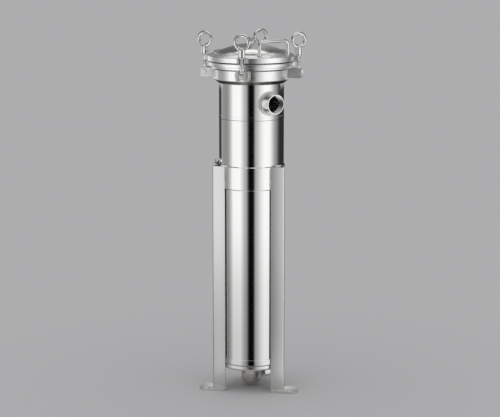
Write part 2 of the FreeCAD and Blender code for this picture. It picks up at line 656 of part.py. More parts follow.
def bent_bar(name, span, high, bar, bend):
    """A U of round bar that stands on the XY plane along X, made of straight runs and quarter bends."""
    radius = half(bar)
    pieces = []
    for side in (-1, 1):
        post = doc.addObject("Part::Cylinder", f"{name}_post_{side + 1}")
        post.setExpression("Radius", radius)
        post.setExpression("Height", minus(high, bend))
        post.setExpression("Placement.Base.x", f"{side} * {span} / 2")
        elbow = doc.addObject("Part::Torus", f"{name}_elbow_{side + 1}")
        elbow.setExpression("Radius1", bend)
        elbow.setExpression("Radius2", radius)
        elbow.Angle3 = 90
        elbow.Placement.Rotation = FreeCAD.Rotation(FreeCAD.Vector(1, 0, 0), 90)
        if side < 0:
            flip = FreeCAD.Rotation(FreeCAD.Vector(0, 0, 1), 180)
            elbow.Placement.Rotation = flip.multiply(elbow.Placement.Rotation)
        elbow.setExpression("Placement.Base.x", f"{side} * ({span} / 2 - {bend})")
        elbow.setExpression("Placement.Base.z", minus(high, bend))
        pieces += [post, elbow]
    rail = doc.addObject("Part::Cylinder", f"{name}_rail")
    rail.setExpression("Radius", radius)
    rail.setExpression("Height", f"({span} - 2 * {bend})")
    rail.Placement.Rotation = FreeCAD.Rotation(FreeCAD.Vector(0, 1, 0), 90)
    rail.setExpression("Placement.Base.x", f"-({span} / 2 - {bend})")
    rail.setExpression("Placement.Base.z", high)
    whole = doc.addObject("Part::MultiFuse", name)
    whole.Shapes = pieces + [rail]
    doc.recompute()
    return whole


def make_handle():
    """Bent bar handle welded on the lid's ledge near the rim."""
    bar = bent_bar("handle_bar_blank", S["handle_span"], plus(S["handle_high"], S["ledge_rise"], S["rim_slope"]),
                   S["handle_bar"], S["handle_bend"])
    turn_to(bar, S["handle_azimuth"], minus(RIM_R, S["handle_inset"]), RIM_TOP)
    keep(boolean("Cut", "lid_handle", bar, parts["lid"]), "lid_handle")


# Swing bolts. Each is drawn about its pivot pin, which lies along X, with outwards along -Y

def make_lug(index):
    """Pair of ears on the collar that carries a swing bolt's pin."""
    name = BOLT_NAMES[index]
    body = blank_body(f"lug_{name}_blank")
    top = S["pin_drop"]
    low = minus(S["pin_drop"], S["ear_high"])
    out = f"(-{S['ear_out']})"
    spare = S["tool_spare"]
    root = plus(minus(BOLTS_R, COLLAR_R), spare)
    width = plus(EAR_GAP, S["ear_thick"], S["ear_thick"])
    corner = S["ear_round"]
    outline = profile(body, "YZ_Plane", f"lug_{name}_outline", [
        (plus(out, corner), low), (root, low), (root, top), (plus(out, corner), top, corner, 1),
        (out, minus(top, corner)), (out, plus(low, corner), corner, 1)])
    pad(body, outline, width, middle=True)
    slot = profile(body, "YZ_Plane", f"lug_{name}_slot", [
        (minus(out, spare), minus(low, spare)), (plus(root, spare), minus(low, spare)),
        (plus(root, spare), plus(top, spare)), (minus(out, spare), plus(top, spare))])
    pocket(body, slot, EAR_GAP, middle=True)
    hole = circle_sketch(body, "YZ_Plane", f"lug_{name}_hole", plus(PIN_BORE, PIN_BORE))
    pocket(body, hole, width, middle=True)
    turn_to(body, bolt_azimuth(index), BOLTS_R, PIN_Z)
    inside = cylinder(f"lug_{name}_collar", COLLAR_R, plus(S["ear_high"], S["ear_high"]),
                      level=minus(PIN_Z, S["ear_high"]))
    keep(boolean("Cut", f"bolt_lug_{name}", body, inside), f"bolt_lug_{name}")


def make_pins():
    """Headed pivot pins, one through each pair of ears."""
    face = half(plus(EAR_GAP, S["ear_thick"], S["ear_thick"]))
    end = plus(face, S["pin_head_len"])
    head = plus(PIN_R, S["pin_head_step"])
    pins = []
    for index, name in enumerate(BOLT_NAMES):
        body = blank_body(f"pin_{name}")
        sketch = profile(body, "XY_Plane", f"pin_{name}_section", [
            (f"(-{end})", "0"), (end, "0"), (end, head), (face, head), (face, PIN_R),
            (f"(-{face})", PIN_R), (f"(-{face})", head), (f"(-{end})", head)])
        feature = body.newObject("PartDesign::Revolution", f"pin_{name}_turned")
        feature.Profile = sketch
        feature.ReferenceAxis = (sketch, ["H_Axis"])
        feature.Angle = 360
        turn_to(body, bolt_azimuth(index), BOLTS_R, PIN_Z)
        pins.append(body)
    group = doc.addObject("Part::Compound", "pivot_pins")
    group.Links = pins
    keep(group, "pivot_pins")


def make_swing_bolt(index):
    """Eye bolt: a flat-sided eye on the pin and a round shank."""
    name = BOLT_NAMES[index]
    eye = doc.addObject("Part::Cylinder", f"eye_{name}")
    eye.setExpression("Radius", EYE_R)
    eye.setExpression("Height", S["eye_thick"])
    eye.Placement.Rotation = FreeCAD.Rotation(FreeCAD.Vector(0, 1, 0), 90)
    eye.setExpression("Placement.Base.x", f"-{S['eye_thick']} / 2")
    shank = doc.addObject("Part::Cylinder", f"shank_{name}")
    shank.setExpression("Radius", SHANK_R)
    shank.setExpression("Height", minus(plus(NUT_Z, S["hub_len"]), PIN_Z, half(S["ring_bar"])))
    bore = doc.addObject("Part::Cylinder", f"eye_bore_{name}")
    bore.setExpression("Radius", PIN_BORE)
    bore.setExpression("Height", plus(EYE_R, EYE_R))
    bore.Placement.Rotation = FreeCAD.Rotation(FreeCAD.Vector(0, 1, 0), 90)
    bore.setExpression("Placement.Base.x", f"-{EYE_R}")
    solid = boolean("Fuse", f"bolt_{name}_solid", eye, shank)
    bolt = boolean("Cut", f"swing_bolt_{name}", solid, bore)
    turn_to(bolt, bolt_azimuth(index), BOLTS_R, PIN_Z)
    keep(bolt, f"swing_bolt_{name}")


def make_washer(index):
    washer = turned_ring(f"washer_{BOLT_NAMES[index]}", SHANK_BORE, plus(SHANK_R, S["washer_wall"]),
                         "0", S["washer_thick"])
    turn_to(washer, bolt_azimuth(index), BOLTS_R, WASHER_Z)


def make_ring_nut(index):
    """Lifting-eye nut: a tapered hub with a blind thread and a round ring on top."""
    name = BOLT_NAMES[index]
    hub = doc.addObject("Part::Cone", f"hub_{name}")
    hub.setExpression("Radius1", plus(SHANK_R, S["hub_wall"]))
    hub.setExpression("Radius2", plus(SHANK_R, minus(S["hub_wall"], S["hub_taper"])))
    hub.setExpression("Height", S["hub_len"])
    ring = doc.addObject("Part::Torus", f"ring_{name}")
    ring.setExpression("Radius1", half(S["ring_dia"]))
    ring.setExpression("Radius2", half(S["ring_bar"]))
    ring.Placement.Rotation = FreeCAD.Rotation(FreeCAD.Vector(1, 0, 0), 90)
    ring.setExpression("Placement.Base.z", plus(S["hub_len"], half(S["ring_dia"])))
    bore = doc.addObject("Part::Cylinder", f"nut_bore_{name}")
    bore.setExpression("Radius", SHANK_BORE)
    bore.setExpression("Height", plus(minus(S["hub_len"], half(S["ring_bar"])), S["face_gap"]))
    solid = boolean("Fuse", f"nut_{name}_solid", hub, ring)
    nut = boolean("Cut", f"ring_nut_{name}", solid, bore)
    turn_to(nut, bolt_azimuth(index), BOLTS_R, NUT_Z)
    nut.setExpression("Placement.Rotation.Angle", f"{NUT_YAWS[index]} * 1deg")
    keep(nut, f"ring_nut_{name}")


# Small fittings

def make_vent():
    """Vent on the crown: a conical boss, a hexagon body screwed into it and a wing screw."""
    spigot = half(S["vent_spigot"])
    base = CROWN_Z
    top = plus(base, S["boss_len"])
    body = new_body("vent_boss")
    revolve(body, profile(body, "XZ_Plane", "boss_section", [
        (spigot, base), (half(S["boss_dia"]), base), (half(S["boss_top_dia"]), top), (spigot, top)]))
    hexagon = flat_prism("vent_hexagon", S["vent_flats"], S["vent_hex"])
    hexagon.setExpression("Placement.Base.z", top)
    stub = cylinder("vent_stub", spigot, S["boss_len"], level=base)
    bore = cylinder("vent_bore", plus(half(S["vent_stem"]), S["fit_gap"]),
                    plus(S["boss_len"], S["vent_hex"]), level=base)
    solid = boolean("Fuse", "vent_solid", hexagon, stub)
    keep(boolean("Cut", "vent_body", solid, bore), "vent_body")
    wings = new_body("vent_screw")
    foot = plus(top, S["vent_hex"], S["face_gap"])
    stem, span = half(S["vent_stem"]), half(S["wing_span"])
    tip = plus(foot, S["wing_high"])
    notch = f"({foot} + {S['wing_high']} / 2)"
    waist = half(S["vent_flats"])
    sketch = profile(wings, "XZ_Plane", "wing_outline", [
        (f"(-{waist})", foot), (waist, foot), (span, f"({foot} + {S['wing_high']} * 0.6)"), (span, tip),
        (f"({span} * 0.55)", tip), ("0", notch), (f"(-{span} * 0.55)", tip), (f"(-{span})", tip),
        (f"(-{span})", f"({foot} + {S['wing_high']} * 0.6)")])
    pad(wings, sketch, S["wing_thick"], middle=True)
    rod = circle_sketch(wings, "XY_Plane", "stem_circle", S["vent_stem"])
    rod.AttachmentOffset = FreeCAD.Placement(FreeCAD.Vector(0, 0, number(base)), FreeCAD.Rotation())
    rod.setExpression("AttachmentOffset.Base.z", base)
    pad(wings, rod, minus(notch, base))


def make_gauge():
    """Small side coupling above the leg band, with a hexagon plug in it."""
    bore, turn = half(S["gauge_bore"]), S["gauge_azimuth"]
    outer = cylinder("gauge_outer", plus(bore, S["gauge_wall"]), minus(GAUGE_END, half(SHELL_R)),
                     turn, half(SHELL_R), GAUGE_Z)
    inner = cylinder("gauge_inner", bore, GAUGE_END, turn, "0", GAUGE_Z)
    saddle = cylinder("gauge_saddle", SHELL_R, S["shell_dia"], level=minus(GAUGE_Z, SHELL_R))
    tube = boolean("Cut", "gauge_tube", outer, inner)
    keep(boolean("Cut", "side_coupling", tube, saddle), "side_coupling")
    stub = cylinder("plug_stub", bore, S["gauge_reach"], turn, SHELL_R, GAUGE_Z)
    head = flat_prism("plug_hexagon", S["plug_flats"], S["plug_head"])
    head.Placement = stub.Placement
    head.setExpression("Placement.Base.x", f"{GAUGE_END} * sin({turn} * 1deg)")
    head.setExpression("Placement.Base.y", f"-{GAUGE_END} * cos({turn} * 1deg)")
    head.setExpression("Placement.Base.z", GAUGE_Z)
    keep(boolean("Fuse", "side_plug", stub, head), "side_plug")


# Inside

def make_basket():
    """Seat ring welded in the tube and the perforated basket that hangs in it by its lip."""
    turned_ring("basket_seat", plus(BASKET_R, S["seat_gap"]), SHELL_IN,
                minus(SEAT_Z, S["seat_thick"]), SEAT_Z)
    body = blank_body("basket_tube")
    inner = minus(BASKET_R, S["basket_wall"])
    floor = plus(BASKET_Z, S["basket_wall"])
    revolve(body, profile(body, "XZ_Plane", "basket_section", [
        ("0", BASKET_Z), (BASKET_R, BASKET_Z), (BASKET_R, SEAT_Z), (LIP_R, SEAT_Z), (LIP_R, LIP_TOP),
        (inner, LIP_TOP), (inner, floor), ("0", floor)]))
    rows = int(number(S["basket_rows"]))
    spacing = f"(({LIP_TOP} - {BASKET_Z} - 2 * {S['basket_first']}) / {rows - 1})"
    drills = []
    for row in range(rows):
        level = minus(LIP_TOP, S["basket_first"], f"{row} * {spacing}")
        for turn in (30, 90, 150):
            drills.append(cylinder(f"basket_drill_{row}_{turn}", half(S["basket_hole"]), plus(LIP_R, LIP_R),
                                   str(turn), f"(-{LIP_R})", level))
    holes = doc.addObject("Part::MultiFuse", "basket_drills")
    holes.Shapes = drills
    keep(boolean("Cut", "basket", body, holes), "basket")


def make_bag():
    """Felt bag in the basket and the snap collar at its mouth."""
    bag = new_body("filter_bag")
    wall, toe_round = S["bag_wall"], S["bag_toe"]
    inner = minus(BAG_R, wall)
    toe = plus(BASKET_Z, S["bag_clear"])
    flat = minus(BAG_R, toe_round)
    bend = plus(toe, toe_round)
    revolve(bag, profile(bag, "XZ_Plane", "bag_section", [
        ("0", toe), (flat, toe, toe_round, 1), (BAG_R, bend), (BAG_R, BAG_TOP), (inner, BAG_TOP),
        (inner, bend, minus(toe_round, wall), -1), (flat, plus(toe, wall)), ("0", plus(toe, wall))]))
    turned_ring("bag_collar", BAG_R, minus(LIP_R, S["ring_gap"]), LIP_TOP, BAG_TOP)


def make_hold_down():
    """Ring on the bag's collar with a bail that reaches up to the lid."""
    outer = minus(LIP_R, S["ring_gap"], S["ring_gap"])
    ring_top = plus(BAG_TOP, S["clamp_thick"])
    turned_ring("hold_down_ring", minus(outer, S["clamp_width"]), outer, BAG_TOP, ring_top)
    span = f"(2 * {minus(outer, S['bail_inset'])})"
    bail = bent_bar("hold_down_bail_bar", span, minus(LID_Z, ring_top), S["bail_bar"], S["bail_bend"])
    bail.setExpression("Placement.Base.z", ring_top)
    keep(bail, "hold_down_bail")


make_bottom_head()
make_bottom_ring()
make_outlet_socket()
make_lower_shell()
make_upper_shell()
make_inlet()
make_collar()
make_flange()
make_seal()
make_leg_band()
for leg in range(3):
    make_leg(leg)
    make_foot(leg)
make_lid()
make_handle()
for bolt in range(4):
    make_tab(bolt)
    make_lug(bolt)
    make_swing_bolt(bolt)
    make_washer(bolt)
    make_ring_nut(bolt)
make_pins()
make_vent()
make_gauge()
make_basket()
make_bag()
make_hold_down()
doc.recompute()

faults = [obj.Name for obj in doc.Objects if "Invalid" in obj.State or "Error" in obj.State]
for label, obj in parts.items():
    if obj.Shape.isNull() or not obj.Shape.isValid() or not obj.Shape.Solids:
        faults.append(label)
if faults:
    raise RuntimeError(f"failed: {faults}")

os.makedirs("parts", exist_ok=True)
for label, obj in parts.items():
    obj.Shape.exportStep(f"parts/{label}.step")
    box = obj.Shape.BoundBox
    print(f"{label:22s} solids {len(obj.Shape.Solids)} volume {obj.Shape.Volume:12.1f}"
          f" z {box.ZMin:8.2f} {box.ZMax:8.2f}")
print(f"{len(parts)} nodes")
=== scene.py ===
import json
import math

import bmesh
import bpy
from mathutils import Matrix, Vector


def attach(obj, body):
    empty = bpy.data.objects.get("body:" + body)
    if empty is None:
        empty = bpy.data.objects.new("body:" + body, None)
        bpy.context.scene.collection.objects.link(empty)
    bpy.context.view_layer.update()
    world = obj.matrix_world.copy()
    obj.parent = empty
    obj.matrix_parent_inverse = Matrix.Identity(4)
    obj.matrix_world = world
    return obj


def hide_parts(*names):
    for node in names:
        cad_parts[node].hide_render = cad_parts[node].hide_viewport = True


bl_info = {
    "name": "Bag Filter Housing",
    "version": (1, 0, 0),
    "blender": (4, 5, 0),
    "location": "View3D > Sidebar > Housing",
    "description": "Dresses the packed filter housing in polished, satin and cast steel",
    "category": "Object",
}

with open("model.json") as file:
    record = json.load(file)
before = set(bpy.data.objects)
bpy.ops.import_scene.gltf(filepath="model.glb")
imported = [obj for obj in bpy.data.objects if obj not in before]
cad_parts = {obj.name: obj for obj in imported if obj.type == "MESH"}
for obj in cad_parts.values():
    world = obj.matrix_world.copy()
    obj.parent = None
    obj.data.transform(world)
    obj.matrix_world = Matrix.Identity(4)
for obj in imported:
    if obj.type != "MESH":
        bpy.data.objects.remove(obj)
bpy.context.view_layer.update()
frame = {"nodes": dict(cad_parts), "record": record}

# The frame's own unit is the metre. Sizes below are in millimetres, as in the part's source
MM = 0.001
BODY = "housing"
BOLTS = {"front": -11.3, "right": 78.7, "rear": 168.7, "left": 258.7}
NUT_YAWS = {"front": -16.0, "right": 24.0, "rear": 30.0, "left": -28.0}
LEGS = {"right": 51.4, "rear": 171.4, "left": 291.4}
SHELL_R, SHELL_IN, THROAT_R = 109.55, 106.55, 103.05
COLLAR_R, NECK_R, FLANGE_R, RIM_R, BOLTS_R = 126.55, 136.05, 144.55, 147.05, 160.05
HEAD_Z, SHELL_Z, SEAM_Z, NECK_Z, COLLAR_Z = 77.0, 100.0, 935.0, 1053.0, 1065.0
EAR_TOP, FLANGE_Z, FLANGE_TOP, LID_Z = 1103.0, 1110.0, 1124.0, 1126.9
RIM_TOP, LEDGE_Z, CROWN_Z = 1143.9, 1153.9, 1183.9
PIN_Z, TAB_TOP, WASHER_Z, NUT_Z = 1088.0, 1145.9, 1146.2, 1149.0
BAND_Z, BAND_TOP, BAND_R = 702.0, 777.0, 112.55
SEAL_R, BEAD_R, BEAD_HALF, LEG_CORNER, LEG_FOOT = 120.05, 123.05, 6.0, 144.02, 6.0
PORT_R, SOCKET_R, PAD_R = 28.3, 33.0, 38.0
INLET_TURN, INLET_Z, INLET_END = 33.0, 991.0, 148.05
GAUGE_TURN, GAUGE_Z, GAUGE_END, GAUGE_R = -80.0, 788.0, 120.55, 9.0
HANDLE_TURN, HANDLE_R, HANDLE_SPAN, HANDLE_BAR = 37.0, RIM_R - 26.0, 118.0, 5.5
# A bead or fillet starts this far inside the wall that it lies on
SUNK = 0.4
# A corner this open is left as it is
NEARLY_STRAIGHT = math.radians(178)


# Outlines and meshes

def arc(centre, radius, start, end, steps):
    """Points on an arc, in degrees."""
    turns = [math.radians(start + (end - start) * i / steps) for i in range(steps + 1)]
    return [(centre[0] + radius * math.cos(turn), centre[1] + radius * math.sin(turn)) for turn in turns]


def rounded(corners, steps, brace=0.35, closed=True):
    """An outline whose corners (x, y, radius) become arcs, each held by a close point on both sides."""
    points = []
    count = len(corners)
    for i, (x, y, *radius) in enumerate(corners):
        here = Vector((x, y))
        before, after = (Vector(corners[k % count][:2]) - here for k in (i - 1, i + 1))
        at_end = not closed and i in (0, count - 1)
        if not any(radius) or at_end or before.angle(after) > NEARLY_STRAIGHT:
            points.append(tuple(here))
            continue
        half_open = before.angle(after) / 2
        room = min(before.length, after.length)
        reach = min(radius[0] / math.tan(half_open), room * 0.49)
        slack = min(brace, (room - reach) * 0.45)
        before, after = before.normalized(), after.normalized()
        bend = reach * math.tan(half_open)
        first, last = here + before * reach, here + after * reach
        middle = here + (before + after).normalized() * bend / math.sin(half_open)
        start = math.atan2(first.y - middle.y, first.x - middle.x)
        end = math.atan2(last.y - middle.y, last.x - middle.x)
        sweep = (end - start + math.pi) % (2 * math.pi) - math.pi
        points.append(tuple(first + before * slack))
        points += arc(middle, bend, math.degrees(start), math.degrees(start + sweep), steps)
        points.append(tuple(last + after * slack))
    return points


def lathe(outline, count, closed=True):
    """A turned mesh about Z from an outline of (radius, height)."""
    verts, faces, rings = [], [], []
    for radius, height in outline:
        if radius < 1e-6:
            rings.append([len(verts)] * count)
            verts.append((0.0, 0.0, height))
            continue
        rings.append(list(range(len(verts), len(verts) + count)))
        for i in range(count):
            turn = 2 * math.pi * i / count
            verts.append((radius * math.sin(turn), -radius * math.cos(turn), height))
    for k in range(len(rings) if closed else len(rings) - 1):
        low, high = rings[k], rings[(k + 1) % len(rings)]
        for i in range(count):
            j = (i + 1) % count
            corners = [low[i], low[j], high[j], high[i]]
            face = [v for n, v in enumerate(corners) if v not in corners[:n]]
            if len(face) > 2:
                faces.append(face)
    return verts, faces


def ring_faces(rings, count, closed=False):
    """Quads that join rings of count points, and the last ring to the first where closed."""
    faces = []
    for k in range(rings if closed else rings - 1):
        low, high = k * count, (k + 1) % rings * count
        faces += [[low + i, low + (i + 1) % count, high + (i + 1) % count, high + i] for i in range(count)]
    return faces


def merged(*meshes):
    """Several (verts, faces) as one."""
    verts, faces = [], []
    for some_verts, some_faces in meshes:
        base = len(verts)
        verts += some_verts
        faces += [[base + i for i in face] for face in some_faces]
    return verts, faces


def moved(mesh, matrix):
    """The mesh in another place."""
    return [tuple(matrix @ Vector(v)) for v in mesh[0]], mesh[1]


def stand(azimuth, radius, height=0.0, turn=None):
    """Places a piece drawn at the front (outwards is -Y) on its azimuth, radius and height."""
    a = math.radians(azimuth)
    spot = Vector((radius * math.sin(a), -radius * math.cos(a), height))
    spin = math.radians(azimuth if turn is None else turn)
    return Matrix.Translation(spot) @ Matrix.Rotation(spin, 4, "Z")


# These turn a piece that stands on Z: outwards along -Y, or along X
LIE_OUT = Matrix.Rotation(math.radians(90), 4, "X")
LIE_ALONG = Matrix.Rotation(math.radians(90), 4, "Y")


def leg_place(azimuth):
    """The corner of an angle leg, with its two arms along X and Y."""
    return stand(azimuth, LEG_CORNER, 0.0, azimuth + 45)


def prism(outline, low, high, edge):
    """An anticlockwise outline raised from low to high, with its rim edges rounded."""
    turns = [math.radians(90), math.radians(45), 0.0]
    foot = [(edge * (1 - math.sin(turn)), edge * (1 - math.cos(turn))) for turn in turns]
    layers = [(low + rise, inset) for rise, inset in foot]
    layers += [(high - rise, inset) for rise, inset in reversed(foot)]
    count = len(outline)
    shifts = []
    for i, point in enumerate(outline):
        before = (Vector(point) - Vector(outline[i - 1])).normalized()
        after = (Vector(outline[(i + 1) % count]) - Vector(point)).normalized()
        normal = Vector((before.y + after.y, -before.x - after.x)).normalized()
        shifts.append(normal * min(2.0, 1.0 / max(0.3, normal.dot(Vector((before.y, -before.x))))))
    verts = [(x - shift.x * inset, y - shift.y * inset, z)
             for z, inset in layers for (x, y), shift in zip(outline, shifts)]
    ends = [list(range(count))[::-1], list(range(len(verts) - count, len(verts)))]
    return verts, ring_faces(len(layers), count) + ends


def tube(path, radius, sides):
    """A round bar along a list of points."""
    points = [Vector(p) for p in path]
    last = len(points) - 1
    tangents = [(points[min(i + 1, last)] - points[max(i - 1, 0)]).normalized() for i in range(last + 1)]
    normal = tangents[0].orthogonal().normalized()
    verts = []
    for i, point in enumerate(points):
        if i:
            normal = tangents[i - 1].rotation_difference(tangents[i]) @ normal
        normal = (normal - tangents[i] * normal.dot(tangents[i])).normalized()
        side = tangents[i].cross(normal)
        verts += [tuple(point + (normal * x + side * y) * radius)
                  for x, y in arc((0, 0), 1.0, 0, 360, sides)[:-1]]
    ends = [list(range(sides))[::-1], list(range(len(verts) - sides, len(verts)))]
    return verts, ring_faces(len(points), sides) + ends


def torus(radius, bar, around, sides):
    """A ring about Z."""
    return lathe(arc((radius, 0.0), bar, 0, 360, sides)[:-1], around)


def u_path(span, high, bend):
    """Centre line of a U that stands on Z = 0 along X."""
    half = span / 2
    left = [(-half, 0, 0), (-half, 0, high - bend - 0.5)]
    left += [(x, 0, z) for x, z in arc((-half + bend, high - bend), bend, 180, 90, 10)]
    left += [(-half + bend + 0.5, 0, high)]
    return left + [(-x, y, z) for x, y, z in left[::-1]]


def saddle_ring(radius, azimuth, level, base, distance, steps):
    """A circle about an axis that points outwards, laid on the round surface of radius base, or flat
    at that distance from the vessel's axis where base is 0."""
    place = stand(azimuth, 0.0, level)
    ring = []
    for across, up in arc((0.0, 0.0), radius, 0, 360, steps):
        depth = math.sqrt((base + distance) ** 2 - across ** 2) if base > 0 else distance
        ring.append(place @ Vector((across, -depth, up)))
    return ring


def saddle_lathe(profile, azimuth, level, count=96):
    """A mesh turned about an axis that points outwards, from points (radius, distance, base)."""
    verts = []
    for radius, distance, base in profile:
        verts += [tuple(spot) for spot in saddle_ring(radius, azimuth, level, base, distance, count)[:-1]]
    return verts, ring_faces(len(profile), count, closed=True)


def holed_tube(radius, low, high, azimuth, level, hole):
    """An open tube surface about Z with a round hole drilled from the side."""
    reach, half_turn, steps, around, rings = 38.0, 20.0, 16, 144, 7
    verts, faces, index = [], [], {}

    def spot(turn, z):
        key = (round(turn % 360.0, 5), round(z, 5))
        if key not in index:
            index[key] = len(verts)
            a = math.radians(turn)
            verts.append((radius * math.sin(a), -radius * math.cos(a), z))
        return index[key]

    # A close grid round the hole, left open at its middle, and wide columns elsewhere
    cell, rise, rest = 2 * half_turn / steps, 2 * reach / steps, around - steps
    columns = [azimuth - half_turn + cell * i for i in range(steps + 1)]
    columns += [azimuth + half_turn + (360 - 2 * half_turn) * i / rest for i in range(1, rest)]
    rows = [low, (low + level - reach) / 2] + [level - reach + rise * i for i in range(steps + 1)]
    rows += [(high + level + reach) / 2, high]
    for c, turn in enumerate(columns):
        following = columns[(c + 1) % len(columns)]
        for r in range(len(rows) - 1):
            if c >= steps or not 2 <= r < 2 + steps:
                faces.append([spot(turn, rows[r]), spot(following, rows[r]),
                              spot(following, rows[r + 1]), spot(turn, rows[r + 1])])
    # The open middle is filled by rings that pass from its square border to the round hole
    border = [(cell * i - half_turn, -reach) for i in range(steps)]
    border += [(half_turn, rise * i - reach) for i in range(steps)]
    border += [(-turn, -up) for turn, up in border]
    previous = None
    for k in range(rings + 1):
        ring = []
        for turn, up in border:
            along = math.atan2(up, radius * math.sin(math.radians(turn)))
            inner_turn = math.degrees(math.asin(hole * math.cos(along) / radius))
            inner_up = hole * math.sin(along)
            ring.append(spot(azimuth + turn + (inner_turn - turn) * k / rings,
                             level + up + (inner_up - up) * k / rings))
        if previous:
            for i in range(len(border)):
                j = (i + 1) % len(border)
                faces.append([previous[i], previous[j], ring[j], ring[i]])
        previous = ring
    return verts, faces


# Pieces

def mesh_data(name, mesh, unit=MM):
    """Mesh data from (verts, faces), which are in millimetres unless told otherwise."""
    data = bpy.data.meshes.new(name)
    data.from_pydata([(x * unit, y * unit, z * unit) for x, y, z in mesh[0]], [], mesh[1])
    return data


def in_scene(name, data):
    """An object with that data, at the origin."""
    piece = bpy.data.objects.new(name, data)
    bpy.context.scene.collection.objects.link(piece)
    return piece


def new_piece(name, mesh, slot, body=BODY, replaces=(), angle=32.0):
    """Makes a smooth-shaded object from (verts, faces) in millimetres and ties it to its body."""
    data = mesh_data(name, mesh)
    work = bmesh.new()
    work.from_mesh(data)
    bmesh.ops.remove_doubles(work, verts=work.verts, dist=1e-6)
    bmesh.ops.recalc_face_normals(work, faces=work.faces)
    work.to_mesh(data)
    work.free()
    finish_piece(name, data, slot, body, replaces, angle)


def turned(name, corners, slot, steps=5, brace=0.35, count=192, replaces=()):
    """A piece turned about the vessel's axis from a closed section with rounded corners."""
    new_piece(name, lathe(rounded(corners, steps, brace), count), slot, replaces=replaces)


def finish_piece(name, data, slot, body=BODY, replaces=(), angle=32.0):
    """Shades the mesh, paints it, ties it to its body and hides the CAD nodes that it stands for."""
    data.shade_smooth()
    data.set_sharp_from_angle(angle=math.radians(angle))
    data.materials.clear()
    data.materials.append(bpy.data.materials[slot])
    piece = in_scene(name, data)
    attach(piece, body)
    if replaces:
        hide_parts(*replaces)


def refined(node, slot, edge, segments=3, angle=28.0, body=BODY):
    """A merged copy of a CAD node whose sharp edges get a small round."""
    work = bmesh.new()
    work.from_mesh(frame["nodes"][node].data)
    bmesh.ops.remove_doubles(work, verts=work.verts, dist=2e-5)
    bmesh.ops.dissolve_limit(work, angle_limit=math.radians(0.6), verts=work.verts, edges=work.edges)
    data = bpy.data.meshes.new(node + "_draft")
    work.to_mesh(data)
    work.free()
    draft = in_scene(node + "_draft", data)
    bevel = draft.modifiers.new("edges", "BEVEL")
    bevel.width = edge * MM
    bevel.segments = segments
    bevel.limit_method = "ANGLE"
    bevel.angle_limit = math.radians(angle)
    bevel.harden_normals = False
    name = node + "_detail"
    finish_piece(name, evaluated_mesh(draft, name), slot, body, (node,), angle)


def evaluated_mesh(draft, name):
    """The draft object's mesh with its modifiers applied. The draft is removed."""
    bpy.context.view_layer.update()
    evaluated = draft.evaluated_get(bpy.context.evaluated_depsgraph_get())
    final = bpy.data.meshes.new_from_object(evaluated)
    bpy.data.objects.remove(draft)
    final.name = name
    return final


# Node trees

def new_tree(name, kind, inputs, outputs):
    """A node tree with sockets (name, kind, value), and its input and output nodes."""
    tree = bpy.data.node_groups.new(name, kind)
    for way, sockets in (("INPUT", inputs), ("OUTPUT", outputs)):
        for label, socket, *value in sockets:
            item = tree.interface.new_socket(name=label, in_out=way, socket_type=f"NodeSocket{socket}")
            if value:
                item.default_value = value[0]
    return tree, tree.nodes.new("NodeGroupInput"), tree.nodes.new("NodeGroupOutput")


def new_node(tree, kind, values=None, **settings):
    """A node with its settings, and the values of its inputs by name or number."""
    node = tree.nodes.new(kind)
    for key, value in settings.items():
        setattr(node, key, value)
    for key, value in (values or {}).items():
        node.inputs[key].default_value = value
    return node


def shared(tree, name, values):
    """One of the shader node groups, placed in a material with its own values."""
    return new_node(tree, "ShaderNodeGroup", values, node_tree=bpy.data.node_groups[name])


def link(tree, *wires):
    """Joins nodes by wires of (from, output, to, input)."""
    for source, output, target, entry in wires:
        tree.links.new(source.outputs[output], target.inputs[entry])


def haze_group():
    """Cloudy change between two values, as hand polishing and handling leave it."""
    tree, entry, leave = new_tree(
        "Polish haze", "ShaderNodeTree",
        [("Vector", "Vector"), ("Scale", "Float", 20.0), ("Low", "Float", 0.05), ("High", "Float", 0.12)],
        [("Value", "Float"), ("Mask", "Float")])
    cloud = new_node(tree, "ShaderNodeTexNoise", {"Detail": 5.0, "Roughness": 0.62})
    spread = new_node(tree, "ShaderNodeMapRange", {"From Min": 0.38, "From Max": 0.66})
    span = new_node(tree, "ShaderNodeMapRange")
    link(tree, (entry, "Vector", cloud, "Vector"), (entry, "Scale", cloud, "Scale"),
         (cloud, "Fac", spread, "Value"), (spread, "Result", span, "Value"),
         (entry, "Low", span, "To Min"), (entry, "High", span, "To Max"),
         (span, "Result", leave, "Value"), (spread, "Result", leave, "Mask"))


def lines_group():
    """Fine streaks along one direction, from rolling, brushing or turning."""
    tree, entry, leave = new_tree(
        "Fine lines", "ShaderNodeTree",
        [("Vector", "Vector"), ("Stretch", "Vector", (300.0, 300.0, 3.0))], [("Height", "Float")])
    scaled = new_node(tree, "ShaderNodeVectorMath", operation="MULTIPLY")
    streak = new_node(tree, "ShaderNodeTexNoise", {"Scale": 1.0, "Detail": 3.0})
    link(tree, (entry, "Vector", scaled, 0), (entry, "Stretch", scaled, 1),
         (scaled, "Vector", streak, "Vector"), (streak, "Fac", leave, "Height"))


def grain_group():
    """Close grain of a casting, a moulding or needled felt."""
    tree, entry, leave = new_tree(
        "Surface grain", "ShaderNodeTree", [("Vector", "Vector"), ("Scale", "Float", 900.0)],
        [("Height", "Float")])
    fine = new_node(tree, "ShaderNodeTexNoise", {"Detail": 4.0})
    cells = new_node(tree, "ShaderNodeTexVoronoi")
    blend = new_node(tree, "ShaderNodeMath", {1: 0.5}, operation="MULTIPLY_ADD")
    link(tree, (entry, "Vector", fine, "Vector"), (entry, "Vector", cells, "Vector"),
         (entry, "Scale", fine, "Scale"), (entry, "Scale", cells, "Scale"),
         (cells, "Distance", blend, 0), (fine, "Fac", blend, 2), (blend, "Value", leave, "Height"))


